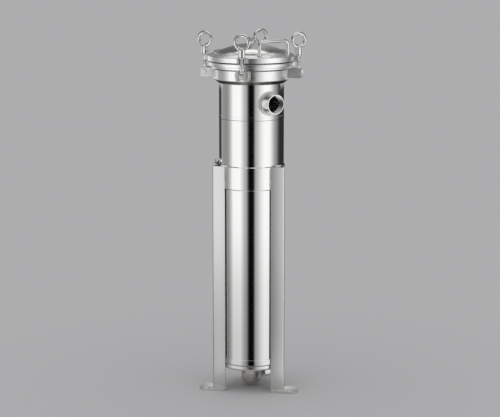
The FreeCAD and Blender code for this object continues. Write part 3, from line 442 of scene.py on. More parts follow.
def dust_group():
    """Thin dust that thickens towards the floor and lies in patches."""
    tree, entry, leave = new_tree(
        "Floor dust", "ShaderNodeTree",
        [("Vector", "Vector"), ("Level", "Float", 0.12), ("Amount", "Float", 0.3)], [("Mask", "Float")])
    parts = new_node(tree, "ShaderNodeSeparateXYZ")
    fade = new_node(tree, "ShaderNodeMapRange", {"To Min": 1.0, "To Max": 0.0})
    patches = new_node(tree, "ShaderNodeTexNoise", {"Scale": 55.0, "Detail": 6.0})
    amount = new_node(tree, "ShaderNodeMath", operation="MULTIPLY")
    mask = new_node(tree, "ShaderNodeMath", operation="MULTIPLY")
    link(tree, (entry, "Vector", parts, "Vector"), (entry, "Vector", patches, "Vector"),
         (parts, "Z", fade, "Value"), (entry, "Level", fade, "From Max"),
         (fade, "Result", amount, 0), (entry, "Amount", amount, 1),
         (amount, "Value", mask, 0), (patches, "Fac", mask, 1), (mask, "Value", leave, "Mask"))


def weld_tree():
    """Overlapping ripples of weld metal along a path."""
    tree, entry, leave = new_tree(
        "Weld ripples", "GeometryNodeTree",
        [("Geometry", "Geometry"), ("Step", "Float", 0.0014), ("Width", "Float", 0.004),
         ("Material", "Material")], [("Geometry", "Geometry")])
    curve = new_node(tree, "GeometryNodeMeshToCurve")
    spaced = new_node(tree, "GeometryNodeResampleCurve", mode="LENGTH")
    tangent = new_node(tree, "GeometryNodeInputTangent")
    aim = new_node(tree, "FunctionNodeAlignRotationToVector", axis="Z")
    radius = new_node(tree, "ShaderNodeMath", {1: 0.5}, operation="MULTIPLY")
    ripple = new_node(tree, "GeometryNodeMeshIcoSphere", {"Subdivisions": 2})
    beads = new_node(tree, "GeometryNodeInstanceOnPoints", {"Scale": (1.0, 1.0, 0.62)})
    solid = new_node(tree, "GeometryNodeRealizeInstances")
    smooth = new_node(tree, "GeometryNodeSetShadeSmooth")
    painted = new_node(tree, "GeometryNodeSetMaterial")
    link(tree, (entry, "Geometry", curve, "Mesh"), (curve, "Curve", spaced, "Curve"),
         (entry, "Step", spaced, "Length"), (spaced, "Curve", beads, "Points"),
         (tangent, "Tangent", aim, "Vector"), (aim, "Rotation", beads, "Rotation"),
         (entry, "Width", radius, 0), (radius, "Value", ripple, "Radius"),
         (ripple, "Mesh", beads, "Instance"), (beads, "Instances", solid, "Geometry"),
         (solid, "Geometry", smooth, "Geometry"), (smooth, "Geometry", painted, "Geometry"),
         (entry, "Material", painted, "Material"), (painted, "Geometry", leave, "Geometry"))


def thread_tree():
    """The ridge of a screw thread about Z."""
    tree, entry, leave = new_tree(
        "Screw thread", "GeometryNodeTree",
        [("Geometry", "Geometry"), ("Turns", "Float", 20.0), ("Radius", "Float", 0.0052),
         ("Length", "Float", 0.05), ("Depth", "Float", 0.0008), ("Material", "Material")],
        [("Geometry", "Geometry")])
    spiral = new_node(tree, "GeometryNodeCurveSpiral", {"Resolution": 24})
    section = new_node(tree, "GeometryNodeCurvePrimitiveCircle", {"Resolution": 4})
    ridge = new_node(tree, "GeometryNodeCurveToMesh", {"Fill Caps": True})
    solid = new_node(tree, "GeometryNodeRealizeInstances")
    painted = new_node(tree, "GeometryNodeSetMaterial")
    link(tree, (entry, "Turns", spiral, "Rotations"), (entry, "Radius", spiral, "Start Radius"),
         (entry, "Radius", spiral, "End Radius"), (entry, "Length", spiral, "Height"),
         (entry, "Depth", section, "Radius"), (spiral, "Curve", ridge, "Curve"),
         (section, "Curve", ridge, "Profile Curve"), (ridge, "Mesh", solid, "Geometry"),
         (solid, "Geometry", painted, "Geometry"), (entry, "Material", painted, "Material"),
         (painted, "Geometry", leave, "Geometry"))


def run_tree(tree_name, name, settings, data=None):
    """Runs a geometry tree on a mesh and returns the plain result."""
    tree = bpy.data.node_groups[tree_name]
    draft = in_scene(name + "_draft", data or bpy.data.meshes.new(name + "_seed"))
    modifier = draft.modifiers.new("tree", "NODES")
    modifier.node_group = tree
    keys = {item.name: item.identifier for item in tree.interface.items_tree
            if item.item_type == "SOCKET" and item.in_out == "INPUT"}
    for key, value in settings.items():
        modifier[keys[key]] = value
    return evaluated_mesh(draft, name)


# Finishes

DUST_TINT = (0.42, 0.40, 0.37)
# Real depth, in metres, that a full strength of each relief stands for
LINE_DEPTH, GRAIN_DEPTH, DENT_DEPTH = 0.0004, 0.0006, 0.004


def shade(tint, share):
    """A colour made darker or lighter."""
    return tuple(min(1.0, c * share) for c in tint)


def steel(name, tint, dull_tint, rough, haze_scale, stretch, line_height, grain=0.0, grain_scale=900.0,
          wave=0.0, dust=0.0):
    """A stainless finish: polish haze in its gloss, fine lines, grain or slow waves in its relief."""
    material = bpy.data.materials.new(name)
    material.use_nodes = True
    tree = material.node_tree
    shader = tree.nodes["Principled BSDF"]
    shader.inputs["Metallic"].default_value = 1.0
    place = new_node(tree, "ShaderNodeTexCoord")
    haze = shared(tree, "Polish haze", {"Scale": haze_scale, "Low": rough[0], "High": rough[1]})
    lines = shared(tree, "Fine lines", {"Stretch": stretch})
    colour = new_node(tree, "ShaderNodeMix", {6: (*tint, 1), 7: (*dull_tint, 1)}, data_type="RGBA")
    relief = new_node(tree, "ShaderNodeBump", {"Strength": line_height, "Distance": LINE_DEPTH})
    link(tree, (place, "Object", haze, "Vector"), (place, "Object", lines, "Vector"),
         (haze, "Mask", colour, 0), (haze, "Value", shader, "Roughness"),
         (colour, 2, shader, "Base Color"), (lines, "Height", relief, "Height"),
         (relief, "Normal", shader, "Normal"))
    if dust:
        powder = shared(tree, "Floor dust", {"Amount": dust})
        dusty = new_node(tree, "ShaderNodeMix", {7: (*DUST_TINT, 1)}, data_type="RGBA")
        link(tree, (place, "Object", powder, "Vector"), (powder, "Mask", dusty, 0),
             (colour, 2, dusty, 6), (dusty, 2, shader, "Base Color"))
    if wave:
        slow = new_node(tree, "ShaderNodeTexNoise", {"Scale": 7.0, "Detail": 1.0})
        dent = new_node(tree, "ShaderNodeBump", {"Strength": wave, "Distance": DENT_DEPTH})
        link(tree, (place, "Object", slow, "Vector"), (slow, "Fac", dent, "Height"),
             (dent, "Normal", relief, "Normal"))
    if grain:
        pitted = shared(tree, "Surface grain", {"Scale": grain_scale})
        rough_cast = new_node(tree, "ShaderNodeBump", {"Strength": grain, "Distance": GRAIN_DEPTH})
        link(tree, (place, "Object", pitted, "Vector"), (pitted, "Height", rough_cast, "Height"),
             (rough_cast, "Normal", relief, "Normal"))
    return shader


def soft_finish(name, tint, dull_tint, rough, scale, grain, grain_scale, sheen=0.0):
    """A finish that isn't metal, with the same haze and grain."""
    shader = steel(name, tint, dull_tint, rough, scale, (40.0, 40.0, 40.0), 0.05, grain, grain_scale)
    shader.inputs["Metallic"].default_value = 0.0
    shader.inputs["Sheen Weight"].default_value = sheen


class HousingSizes(bpy.types.PropertyGroup):
    weld_width: bpy.props.FloatProperty(
        name="Weld width", description="Width of a weld bead", default=0.0042, min=0.001, unit="LENGTH")
    weld_step: bpy.props.FloatProperty(
        name="Weld step", description="Distance from one weld ripple to the next", default=0.0016,
        min=0.0005, unit="LENGTH")
    thread_pitch: bpy.props.FloatProperty(
        name="Thread pitch", description="Pitch of the swing bolts' thread", default=0.00175,
        min=0.0005, unit="LENGTH")
    edge_round: bpy.props.FloatProperty(
        name="Edge round", description="Round on the edges of the foot plates", default=0.0008,
        min=0.0001, max=0.002, unit="LENGTH")


class HousingFinish(bpy.types.PropertyGroup):
    polished_tint: bpy.props.FloatVectorProperty(
        name="Polished steel", description="Colour of the mirror-polished vessel", subtype="COLOR",
        default=(0.86, 0.86, 0.855), min=0, max=1)
    satin_tint: bpy.props.FloatVectorProperty(
        name="Satin steel", description="Colour of the legs and feet", subtype="COLOR",
        default=(0.88, 0.875, 0.86), min=0, max=1)
    cast_tint: bpy.props.FloatVectorProperty(
        name="Cast steel", description="Colour of the lugs and tabs", subtype="COLOR",
        default=(0.86, 0.855, 0.84), min=0, max=1)
    felt_tint: bpy.props.FloatVectorProperty(
        name="Felt", description="Colour of the filter bag", subtype="COLOR",
        default=(0.82, 0.80, 0.74), min=0, max=1)
    polish_roughness: bpy.props.FloatProperty(
        name="Polish", description="Roughness of the mirror polish", default=0.07, min=0, max=0.5)


class HousingStage(bpy.types.PropertyGroup):
    backdrop_tint: bpy.props.FloatVectorProperty(
        name="Backdrop", description="Colour of the far floor and the background", subtype="COLOR",
        default=(0.42, 0.415, 0.425), min=0, max=1)
    glow: bpy.props.FloatProperty(
        name="Glow", description="Brightness of the softboxes", default=1.0, min=0, max=10)
    camera_distance: bpy.props.FloatProperty(
        name="Camera distance", description="Level distance from the vessel's axis", default=5.074,
        min=1, unit="LENGTH")
    camera_height: bpy.props.FloatProperty(
        name="Camera height", description="Height of the camera over the floor", default=1.535,
        min=0.1, unit="LENGTH")
    camera_tilt: bpy.props.FloatProperty(
        name="Camera tilt", description="How far the camera looks down", subtype="ANGLE",
        default=math.radians(10.2))
    lens: bpy.props.FloatProperty(
        name="Lens", description="Focal length on a 36 mm wide sensor", default=108.86, min=20, max=300)


class HOUSING_OT_finishes(bpy.types.Operator):
    """Builds every finish and gives the carried-over CAD pieces theirs"""
    bl_idname = "housing.finishes"
    bl_label = "Finishes"

    def execute(self, context):
        look = context.scene.housing_finish
        for build in (haze_group, lines_group, grain_group, dust_group, weld_tree, thread_tree):
            build()
        rough = look.polish_roughness
        polished, satin, cast, felt = (tuple(tint) for tint in (
            look.polished_tint, look.satin_tint, look.cast_tint, look.felt_tint))
        steel("mirror_steel", polished, shade(polished, 0.96), (rough * 0.8, rough * 1.4), 9.0,
              (320.0, 320.0, 2.5), 0.05, wave=0.10)
        steel("satin_steel", satin, shade(satin, 0.94), (0.19, 0.29), 14.0, (520.0, 520.0, 6.0), 0.22,
              grain=0.03, grain_scale=1200.0, dust=0.35)
        steel("socket_steel", satin, shade(satin, 0.9), (0.16, 0.26), 40.0, (60.0, 60.0, 700.0), 0.2)
        steel("cast_socket", (0.62, 0.59, 0.56), (0.48, 0.45, 0.42), (0.26, 0.40), 50.0,
              (200.0, 200.0, 200.0), 0.1, grain=0.25, grain_scale=900.0)
        steel("turned_steel", shade(polished, 1.06), polished, (0.27, 0.36), 25.0, (18.0, 18.0, 800.0), 0.12)
        # Dark steel: painted shade on the collar's cone, under the flange and below the bottom ring, and the
        # dark joint line of the girth seam
        steel("painted_shade_and_joint_steel", (0.30, 0.29, 0.28), (0.20, 0.19, 0.18), (0.20, 0.34), 45.0,
              (40.0, 40.0, 600.0), 0.15)
        steel("weld_metal", shade(satin, 0.92), (0.62, 0.58, 0.52), (0.22, 0.4), 120.0,
              (300.0, 300.0, 300.0), 0.1)
        steel("cast_steel", cast, shade(cast, 0.80), (0.16, 0.32), 90.0, (200.0, 200.0, 200.0), 0.08,
              grain=0.45, grain_scale=420.0)
        steel("polished_casting", shade(polished, 0.97), shade(polished, 0.86), (0.08, 0.18), 70.0,
              (150.0, 150.0, 150.0), 0.08, grain=0.10, grain_scale=500.0)
        steel("bright_fasteners", shade(polished, 0.94), shade(polished, 0.86), (0.13, 0.24), 80.0,
              (80.0, 80.0, 900.0), 0.15)
        soft_finish("black_rubber", (0.022, 0.022, 0.023), (0.05, 0.05, 0.05), (0.5, 0.7), 60.0, 0.2, 1500.0)
        soft_finish("white_felt", felt, shade(felt, 0.88), (0.85, 0.98), 30.0, 0.9, 1400.0, sheen=0.3)
        soft_finish("bag_ring_plastic", (0.72, 0.73, 0.71), (0.66, 0.67, 0.65), (0.4, 0.55), 50.0, 0.1, 900.0)
        slots = {part["node"]: part["material_slot"] for part in frame["record"]["subparts"]}
        for node, piece in frame["nodes"].items():
            piece.material_slots[0].link = "OBJECT"
            piece.material_slots[0].material = bpy.data.materials[slots[node]]
        return {"FINISHED"}


class HOUSING_OT_vessel(bpy.types.Operator):
    """Makes the bottom head, both shells, the girth seam and the ring and band round them"""
    bl_idname = "housing.vessel"
    bl_label = "Vessel"

    def execute(self, context):
        wall = 4.0
        turned("bottom_head_skin", [
            (PORT_R, HEAD_Z, 0.5), (SHELL_R, HEAD_Z, 9.0), (SHELL_R, SHELL_Z, 0.3),
            (SHELL_R - wall, SHELL_Z, 0.3), (SHELL_R - wall, HEAD_Z + wall, 5.0),
            (PORT_R, HEAD_Z + wall, 0.3)], "turned_steel", 8, replaces=("bottom_head",))
        low, high = SHELL_Z - 3, SHELL_Z + 17
        turned("bottom_ring_skin", [
            (SHELL_R - 0.2, low, 0.2), (SHELL_R + 2.6, low, 2.0), (SHELL_R + 2.6, high, 2.4),
            (SHELL_R - 0.2, high, 0.1)], "mirror_steel", replaces=("bottom_ring",))
        # A dark fillet below the ring: its colour is painted shade
        turned("bottom_ring_shade_line", [
            (SHELL_R - SUNK, low - 2.6, 0.1), (SHELL_R + 0.3, low - 2.6, 0.2),
            (SHELL_R + 1.6, low + 0.3, 0.2), (SHELL_R - SUNK, low + 0.3, 0.1)], "painted_shade_and_joint_steel", 3, 0.1)
        turned("lower_shell_skin", [
            (SHELL_IN, SHELL_Z, 0.3), (SHELL_R, SHELL_Z, 0.3), (SHELL_R, SEAM_Z, 0.3),
            (SHELL_IN, SEAM_Z, 0.3)], "mirror_steel", count=256, replaces=("lower_shell",))
        name = "upper_shell_skin"
        draft = in_scene("upper_draft", mesh_data("upper_wall", holed_tube(
            SHELL_R, SEAM_Z, NECK_Z, INLET_TURN, INLET_Z, PORT_R)))
        solid = draft.modifiers.new("wall", "SOLIDIFY")
        solid.thickness = (SHELL_R - SHELL_IN) * MM
        solid.offset = -1.0
        finish_piece(name, evaluated_mesh(draft, name), "mirror_steel", replaces=("upper_shell",))
        turned("girth_seam", [
            (SHELL_R - SUNK, SEAM_Z, 0.1), (SHELL_R + 0.5, SEAM_Z, 0.4), (SHELL_R + 0.5, SEAM_Z + 10, 0.4),
            (SHELL_R - SUNK, SEAM_Z + 10, 0.1)], "mirror_steel", 4, 0.1)
        turned("girth_seam_line", [
            (SHELL_R - SUNK, SEAM_Z - 1.3, 0.1), (SHELL_R + 0.3, SEAM_Z - 1.3, 0.2),
            (SHELL_R + 0.3, SEAM_Z, 0.2), (SHELL_R - SUNK, SEAM_Z, 0.1)], "painted_shade_and_joint_steel", 3, 0.1)
        turned("leg_band_skin", [
            (SHELL_R - 0.2, BAND_Z, 0.2), (BAND_R, BAND_Z, 0.7), (BAND_R, BAND_TOP, 0.7),
            (SHELL_R - 0.2, BAND_TOP, 0.2)], "mirror_steel", replaces=("leg_band",))
        for name, edge, way in (("upper", BAND_TOP, 1), ("lower", BAND_Z, -1)):
            turned(f"leg_band_{name}_fillet", [
                (SHELL_R - SUNK, edge - 0.2 * way, 0.1), (BAND_R - 0.4, edge - 0.2 * way, 0.2),
                (BAND_R - 0.6, edge + 0.3 * way, 0.4), (SHELL_R + 0.3, edge + 2.4 * way, 0.3),
                (SHELL_R - SUNK, edge + 2.4 * way, 0.1)][::way], "mirror_steel", 4, 0.1)
        return {"FINISHED"}


class HOUSING_OT_closure(bpy.types.Operator):
    """Makes the collar with its cone, the body flange, the seal and the lid"""
    bl_idname = "housing.closure"
    bl_label = "Collar and lid"

    def execute(self, context):
        turned("collar_skin", [
            (THROAT_R, COLLAR_Z, 0.3), (COLLAR_R - 1.6, COLLAR_Z - 0.4, 0.4), (COLLAR_R, COLLAR_Z + 1.2, 1.4),
            (COLLAR_R, EAR_TOP, 0.6), (THROAT_R, EAR_TOP, 0.3)], "turned_steel", 6, replaces=("collar",))
        # The cone's dark colour is painted shade
        turned("collar_cone", [
            (THROAT_R, NECK_Z, 0.3), (SHELL_R, NECK_Z, 0.5), (SHELL_R + 1.6, NECK_Z + 0.6, 3.0),
            (COLLAR_R - 1.7, COLLAR_Z - 0.5, 0.3), (THROAT_R, COLLAR_Z - 0.5, 0.3)], "painted_shade_and_joint_steel", 6)
        # A dark fillet under the flange, coloured as painted shade
        turned("flange_shade_fillet", [
            (COLLAR_R - SUNK, EAR_TOP - 4.6, 0.3), (COLLAR_R + 0.6, EAR_TOP - 4.6, 0.5),
            (COLLAR_R + 4.6, EAR_TOP - 0.3, 0.5), (COLLAR_R - SUNK, EAR_TOP - 0.3, 0.3)],
            "painted_shade_and_joint_steel", 4, 0.1)
        cord, play = 3.0, 0.3
        groove_in, groove_out, floor = SEAL_R - cord - play, SEAL_R + cord + play, LID_Z - 2 * cord - play
        turned("body_flange_skin", [
            (THROAT_R, EAR_TOP, 0.3), (NECK_R, EAR_TOP, 0.6), (NECK_R, FLANGE_Z, 0.8),
            (FLANGE_R, FLANGE_Z, 2.5), (FLANGE_R, FLANGE_TOP, 2.5), (groove_out, FLANGE_TOP, 0.3),
            (groove_out, floor, 0.3), (groove_in, floor, 0.3), (groove_in, FLANGE_TOP, 0.3),
            (THROAT_R, FLANGE_TOP, 0.6)], "turned_steel", 6, replaces=("body_flange",))
        seal = moved(torus(SEAL_R, cord, 160, 20), Matrix.Translation((0, 0, LID_Z - cord - play / 2)))
        new_piece("lid_seal_cord", seal, "black_rubber", replaces=("lid_seal",))
        # The lid is a dome inside a round bead, on a rim that slopes down and outwards
        bead_in, bead_out, wall = BEAD_R - BEAD_HALF, BEAD_R + BEAD_HALF, 5.0
        inner, rise = bead_in - wall, CROWN_Z - LEDGE_Z
        outline = self.dome(inner, rise, CROWN_Z - wall, 2.5, inner, 24)
        outline += [(bead_in, LEDGE_Z - 4.6), (bead_out - 0.4, LEDGE_Z - 0.6)]
        outline += arc((BEAD_R, LEDGE_Z), BEAD_HALF, 0, 170, 14)
        outline += self.dome(bead_in, rise, CROWN_Z, bead_in - 1.0, 2.5, 40)
        new_piece("lid_dome", lathe(outline, 192), "mirror_steel", replaces=("lid",), angle=40)
        turned("lid_rim", [
            (inner, LID_Z, 0.8), (RIM_R, LID_Z, 1.0), (RIM_R, RIM_TOP, 3.0), (bead_out, LEDGE_Z),
            (BEAD_R, LEDGE_Z + 1.0), (inner, LEDGE_Z - wall)], "turned_steel", 7)
        return {"FINISHED"}

    def dome(self, edge, rise, crown, start, end, steps):
        """Points of a spherical dome that falls by rise from its crown to its edge."""
        ball = (edge ** 2 + rise ** 2) / 2 / rise
        radii = [start + (end - start) * i / steps for i in range(steps + 1)]
        return [(radius, crown - ball + math.sqrt(ball ** 2 - radius ** 2)) for radius in radii]


class HOUSING_OT_ports(bpy.types.Operator):
    """Makes the inlet, the outlet and the plugged side coupling"""
    bl_idname = "housing.ports"
    bl_label = "Ports"

    def execute(self, context):
        # Points are (radius, distance from the axis, 0) or (radius, height over the shell, SHELL_R)
        end = INLET_END
        profile = [(SOCKET_R, -1.0, SHELL_R), (SOCKET_R, 1.0, SHELL_R), (SOCKET_R, end - 1.6, 0),
                   (SOCKET_R, end - 1.2, 0), (32.65, end - 0.35, 0), (31.8, end, 0), (31.4, end, 0),
                   (30.4, end, 0), (30.0, end, 0)]
        pitch, root_r, threaded = 2.3, 29.4, 26
        depth = end - 1.3
        while depth > end - threaded:
            profile += [(PORT_R, depth, 0), (PORT_R, depth - 0.35, 0), (root_r, depth - 1.2, 0),
                        (root_r, depth - 1.45, 0)]
            depth -= pitch
        profile += [(PORT_R, depth, 0), (PORT_R, 1.0, SHELL_R), (PORT_R, -1.0, SHELL_R)]
        new_piece("inlet_socket_body", saddle_lathe(profile, INLET_TURN, INLET_Z), "socket_steel",
                  replaces=("inlet_socket",), angle=30)
        pad = [(SOCKET_R - 0.2, -0.3), (SOCKET_R - 0.2, 1.6), (33.6, 2.0), (36.6, 2.0), (37.4, 1.85),
               (37.9, 1.4), (PAD_R, 0.8), (PAD_R, -0.3)]
        pad = [(radius, height, SHELL_R) for radius, height in pad]
        new_piece("inlet_pad_plate", saddle_lathe(pad, INLET_TURN, INLET_Z, 128), "mirror_steel",
                  replaces=("inlet_pad",))
        refined("outlet_socket", "cast_socket", edge=0.7, angle=20)
        end, bore = GAUGE_END, 5.7
        coupling = [(GAUGE_R, -0.5, SHELL_R), (GAUGE_R, 1.0, SHELL_R), (GAUGE_R, end - 0.8, 0),
                    (8.7, end - 0.2, 0), (8.2, end, 0), (6.4, end, 0), (bore, end - 0.7, 0),
                    (bore, -0.5, SHELL_R)]
        new_piece("side_coupling_body", saddle_lathe(coupling, GAUGE_TURN, GAUGE_Z, 64), "socket_steel",
                  replaces=("side_coupling",))
        refined("side_plug", "satin_steel", edge=0.4)
        return {"FINISHED"}


class HOUSING_OT_legs(bpy.types.Operator):
    """Makes the three angle-iron legs and their foot plates"""
    bl_idname = "housing.legs"
    bl_label = "Legs"

    def execute(self, context):
        outline = [(7.0, 0.0), (46.5, 0.0), (47.4, 0.25), (48.0, 0.9), (48.0, 2.6), (47.6, 3.0)]
        outline += [(7.0, 3.0)] + arc((7.0, 7.0), 4.0, 262, 180, 7) + [(3.0, 47.6), (2.6, 48.0), (0.9, 48.0)]
        outline += [(0.25, 47.4), (0.0, 46.5), (0.0, 7.0)] + arc((7.0, 7.0), 7.0, 188, 262, 11)
        for name, azimuth in LEGS.items():
            leg = moved(prism(outline, LEG_FOOT, BAND_TOP, 0.4), leg_place(azimuth))
            new_piece(f"leg_{name}_angle", leg, "satin_steel", replaces=(f"leg_{name}",), angle=24)
            refined(f"foot_{name}", "satin_steel", edge=context.scene.housing_sizes.edge_round / MM)
        return {"FINISHED"}


class HOUSING_OT_clamps(bpy.types.Operator):
    """Makes the lugs, pins, swing bolts, washers, ring nuts and the tabs that they hold down"""
    bl_idname = "housing.clamps"
    bl_label = "Swing bolts"

    def execute(self, context):
        # Half sections of what is turned: each is (radius, place along its own axis, round)
        pin = rounded([(0, -22.5), (9.0, -22.5, 0.9), (9.0, -19.5, 0.4), (6.0, -19.5), (6.0, 19.5),
                       (9.0, 19.5, 0.4), (9.0, 22.5, 0.9), (0, 22.5)], 4, closed=False)
        eye = rounded([(6.05, -7.0, 0.5), (14.5, -7.0, 1.6), (14.5, 7.0, 1.6), (6.05, 7.0, 0.5)], 4)
        shank = rounded([(0, 9.0), (7.4, 9.0), (6.4, 14.0, 3.0), (6.0, 18.0, 3.0), (6.0, 25.0, 0.4),
                         (5.2, 26.2, 0.4), (5.2, 79.2, 0.3), (4.4, 80.2, 0.3), (0, 80.2)], 4, closed=False)
        washer = rounded([(6.05, 0, 0.3), (12.0, 0, 0.5), (12.0, 2.5, 0.5), (6.05, 2.5, 0.3)], 3)
        hub = rounded([(0, 19.5), (6.05, 19.5), (6.05, 0.0, 0.4), (12.0, 0.0, 0.9), (11.9, 3.0, 0.6),
                       (10.7, 24.5, 4.0), (8.2, 28.5, 3.0), (0, 28.5)], 5, closed=False)
        ring = moved(torus(22.5, 5.75, 96, 32), Matrix.Translation((0, 0, 47.5)) @ LIE_OUT)
        thread_r, thread_deep, thread_low, length = 5.2, 0.8, 27.5, 51.0 * MM
        thread_settings = {"Turns": length / context.scene.housing_sizes.thread_pitch,
                           "Radius": thread_r * MM, "Length": length, "Depth": thread_deep * MM,
                           "Material": bpy.data.materials["bright_fasteners"]}
        pins = []
        for name, azimuth in BOLTS.items():
            place = stand(azimuth, BOLTS_R, PIN_Z)
            refined(f"lid_tab_{name}", "cast_steel", edge=1.4, segments=4)
            refined(f"bolt_lug_{name}", "cast_steel", edge=1.1, segments=4)
            pins.append(moved(lathe(pin, 48, closed=False), place @ LIE_ALONG))
            bolt = merged(moved(lathe(eye, 64), LIE_ALONG), lathe(shank, 48, closed=False))
            new_piece(f"swing_bolt_{name}_blank", moved(bolt, place), "bright_fasteners", f"bolt_{name}",
                      (f"swing_bolt_{name}",))
            thread = run_tree("Screw thread", f"swing_bolt_{name}_thread", thread_settings)
            thread.transform(stand(azimuth, BOLTS_R * MM, (PIN_Z + thread_low) * MM))
            finish_piece(f"swing_bolt_{name}_thread", thread, "bright_fasteners", f"bolt_{name}", angle=60)
            disc = moved(lathe(washer, 64), stand(azimuth, BOLTS_R, WASHER_Z))
            new_piece(f"washer_{name}_disc", disc, "bright_fasteners", f"washer_{name}", (f"washer_{name}",))
            nut = moved(merged(lathe(hub, 64, closed=False), ring),
                        stand(azimuth, BOLTS_R, NUT_Z, NUT_YAWS[name]))
            new_piece(f"ring_nut_{name}_cast", nut, "polished_casting", f"nut_{name}", (f"ring_nut_{name}",))
        new_piece("pivot_pins_turned", merged(*pins), "cast_steel", replaces=("pivot_pins",))
        return {"FINISHED"}


class HOUSING_OT_lid_fittings(bpy.types.Operator):
    """Makes the lid handle and the vent on the crown"""
    bl_idname = "housing.lid_fittings"
    bl_label = "Handle and vent"

    def execute(self, context):
        bar = moved(tube(u_path(HANDLE_SPAN, 53.0, 14.0), HANDLE_BAR, 32),
                    stand(HANDLE_TURN, HANDLE_R, RIM_TOP))
        new_piece("lid_handle_bar", bar, "mirror_steel", replaces=("lid_handle",))
        turned("vent_boss_turned", [
            (5.05, CROWN_Z - 0.6), (12.4, CROWN_Z - 0.6), (11.6, CROWN_Z + 1.2, 1.5),
            (7.5, CROWN_Z + 6.0, 0.8), (5.05, CROWN_Z + 6.0, 0.2)],
            "mirror_steel", 4, count=96, replaces=("vent_boss",))
        refined("vent_body", "bright_fasteners", edge=0.5)
        refined("vent_screw", "bright_fasteners", body="vent_screw", edge=0.6)
        return {"FINISHED"}


class HOUSING_OT_filter_bag(bpy.types.Operator):
    """Makes the felt bag, drawn in here and there between the basket's openings"""
    bl_idname = "housing.filter_bag"
    bl_label = "Filter bag"

    def execute(self, context):
        low, high, radius, toe, felt = 190.0, 950.0, 89.05, 20.0, 3.0
        levels = [low + toe + (high - low - toe) * i / 60 for i in range(1, 61)]
        outline = [(0.0, low)] + arc((radius - toe, low + toe), toe, 270, 360, 6)
        outline += [(radius, z) for z in levels] + [(radius - felt, high)]
        outline += [(radius - felt, high + low + toe - z) for z in levels]
        outline += arc((radius - toe, low + toe), toe - felt, 360, 270, 6) + [(0.0, low + felt)]
        verts, faces = lathe(outline, 120, closed=False)
        deepest, eased, core = 2.4, 60.0, 40
        drawn = []
        for x, y, z in verts:
            turn, size = math.atan2(x, -y), math.hypot(x, y)
            pull = 0.5 + 0.3 * math.sin(7 * turn + z * 0.021) + 0.2 * math.sin(13 * turn - z * 0.043)
            share = min(1.0, max(0.0, (high - z) / eased))
            scale = 1.0 - (pull * share * deepest / size if size > core else 0.0)
            drawn.append((x * scale, y * scale, z))
        new_piece("filter_bag_felt", (drawn, faces), "white_felt", replaces=("filter_bag",), angle=50)
        return {"FINISHED"}


class HOUSING_OT_welds(bpy.types.Operator):
    """Lays the weld beads where legs, lugs, tabs and fittings join the vessel"""
    bl_idname = "housing.welds"
    bl_label = "Welds"

    def execute(self, context):
        sizes = context.scene.housing_sizes
        verts, edges = [], []
        for run in self.leg_runs() + self.clamp_runs() + self.handle_runs() + self.port_runs():
            base = len(verts)
            verts += [tuple(p * MM) for p in run]
            edges += [(base + i, base + i + 1) for i in range(len(run) - 1)]
        path = bpy.data.meshes.new("weld_paths")
        path.from_pydata(verts, edges, [])
        beads = run_tree("Weld ripples", "weld_beads", {
            "Step": sizes.weld_step, "Width": sizes.weld_width,
            "Material": bpy.data.materials["weld_metal"]}, path)
        finish_piece("weld_beads", beads, "weld_metal", angle=180)
        return {"FINISHED"}

    def leg_runs(self):
        """Up both edges of each leg on the band, by hand and so not quite straight, and round its foot."""
        runs = []
        heights = list(enumerate(range(int(BAND_Z) + 2, int(BAND_TOP) - 1, 6)))
        foot = ((46, -0.3, 6.2), (2, -0.3, 6.2), (-0.3, 2, 6.2), (-0.3, 46, 6.2))
        for azimuth in LEGS.values():
            place = leg_place(azimuth)
            for x, y in ((49.8, 0.7), (0.7, 49.8)):
                runs.append([place @ Vector((x + 0.35 * math.sin(i * 1.9), y + 0.25 * math.sin(i * 2.7), z))
                             for i, z in heights])
            runs.append([place @ Vector(p) for p in foot])
        return runs

    def clamp_runs(self):
        """Down both sides of each lug on the collar and of each tab on the lid's rim."""
        runs = []
        for azimuth in BOLTS.values():
            place = stand(azimuth, BOLTS_R, 0.0)
            for side in (-1, 1):
                for across, round_r, low, high in ((19.8, COLLAR_R, PIN_Z - 16, PIN_Z + 14),
                                                   (17.3, RIM_R, TAB_TOP - 17, TAB_TOP - 1)):
                    back = BOLTS_R - math.sqrt((round_r + 0.3) ** 2 - across * across)
                    runs.append([place @ Vector((side * across, back, z)) for z in (low, high)])
        return runs

    def handle_runs(self):
        """Round both feet of the handle, on the slope of the lid's rim."""
        runs = []
        place = stand(HANDLE_TURN, HANDLE_R)
        slope = (LEDGE_Z - RIM_TOP) / (RIM_R - BEAD_R - BEAD_HALF)
        for side in (-1, 1):
            spots = [place @ Vector((x, y, 0)) for x, y in arc((side * HANDLE_SPAN / 2, 0), 6.2, 0, 360, 24)]
            runs.append([Vector((p.x, p.y, RIM_TOP + (RIM_R - math.hypot(p.x, p.y)) * slope + 0.3))
                         for p in spots])
        return runs

    def port_runs(self):
        """Round the inlet and its pad, the side coupling, the outlet and the vent boss."""
        runs = [saddle_ring(33.6, INLET_TURN, INLET_Z, SHELL_R, 2.2, 64),
                saddle_ring(38.2, INLET_TURN, INLET_Z, SHELL_R, 0.3, 64),
                saddle_ring(GAUGE_R + 0.2, GAUGE_TURN, GAUGE_Z, SHELL_R, 0.3, 32)]
        for radius, height in ((33.2, HEAD_Z - 0.6), (12.4, CROWN_Z - 0.1)):
            runs.append([Vector((x, y, height)) for x, y in arc((0, 0), radius, -90, 270, 48)])
        return runs


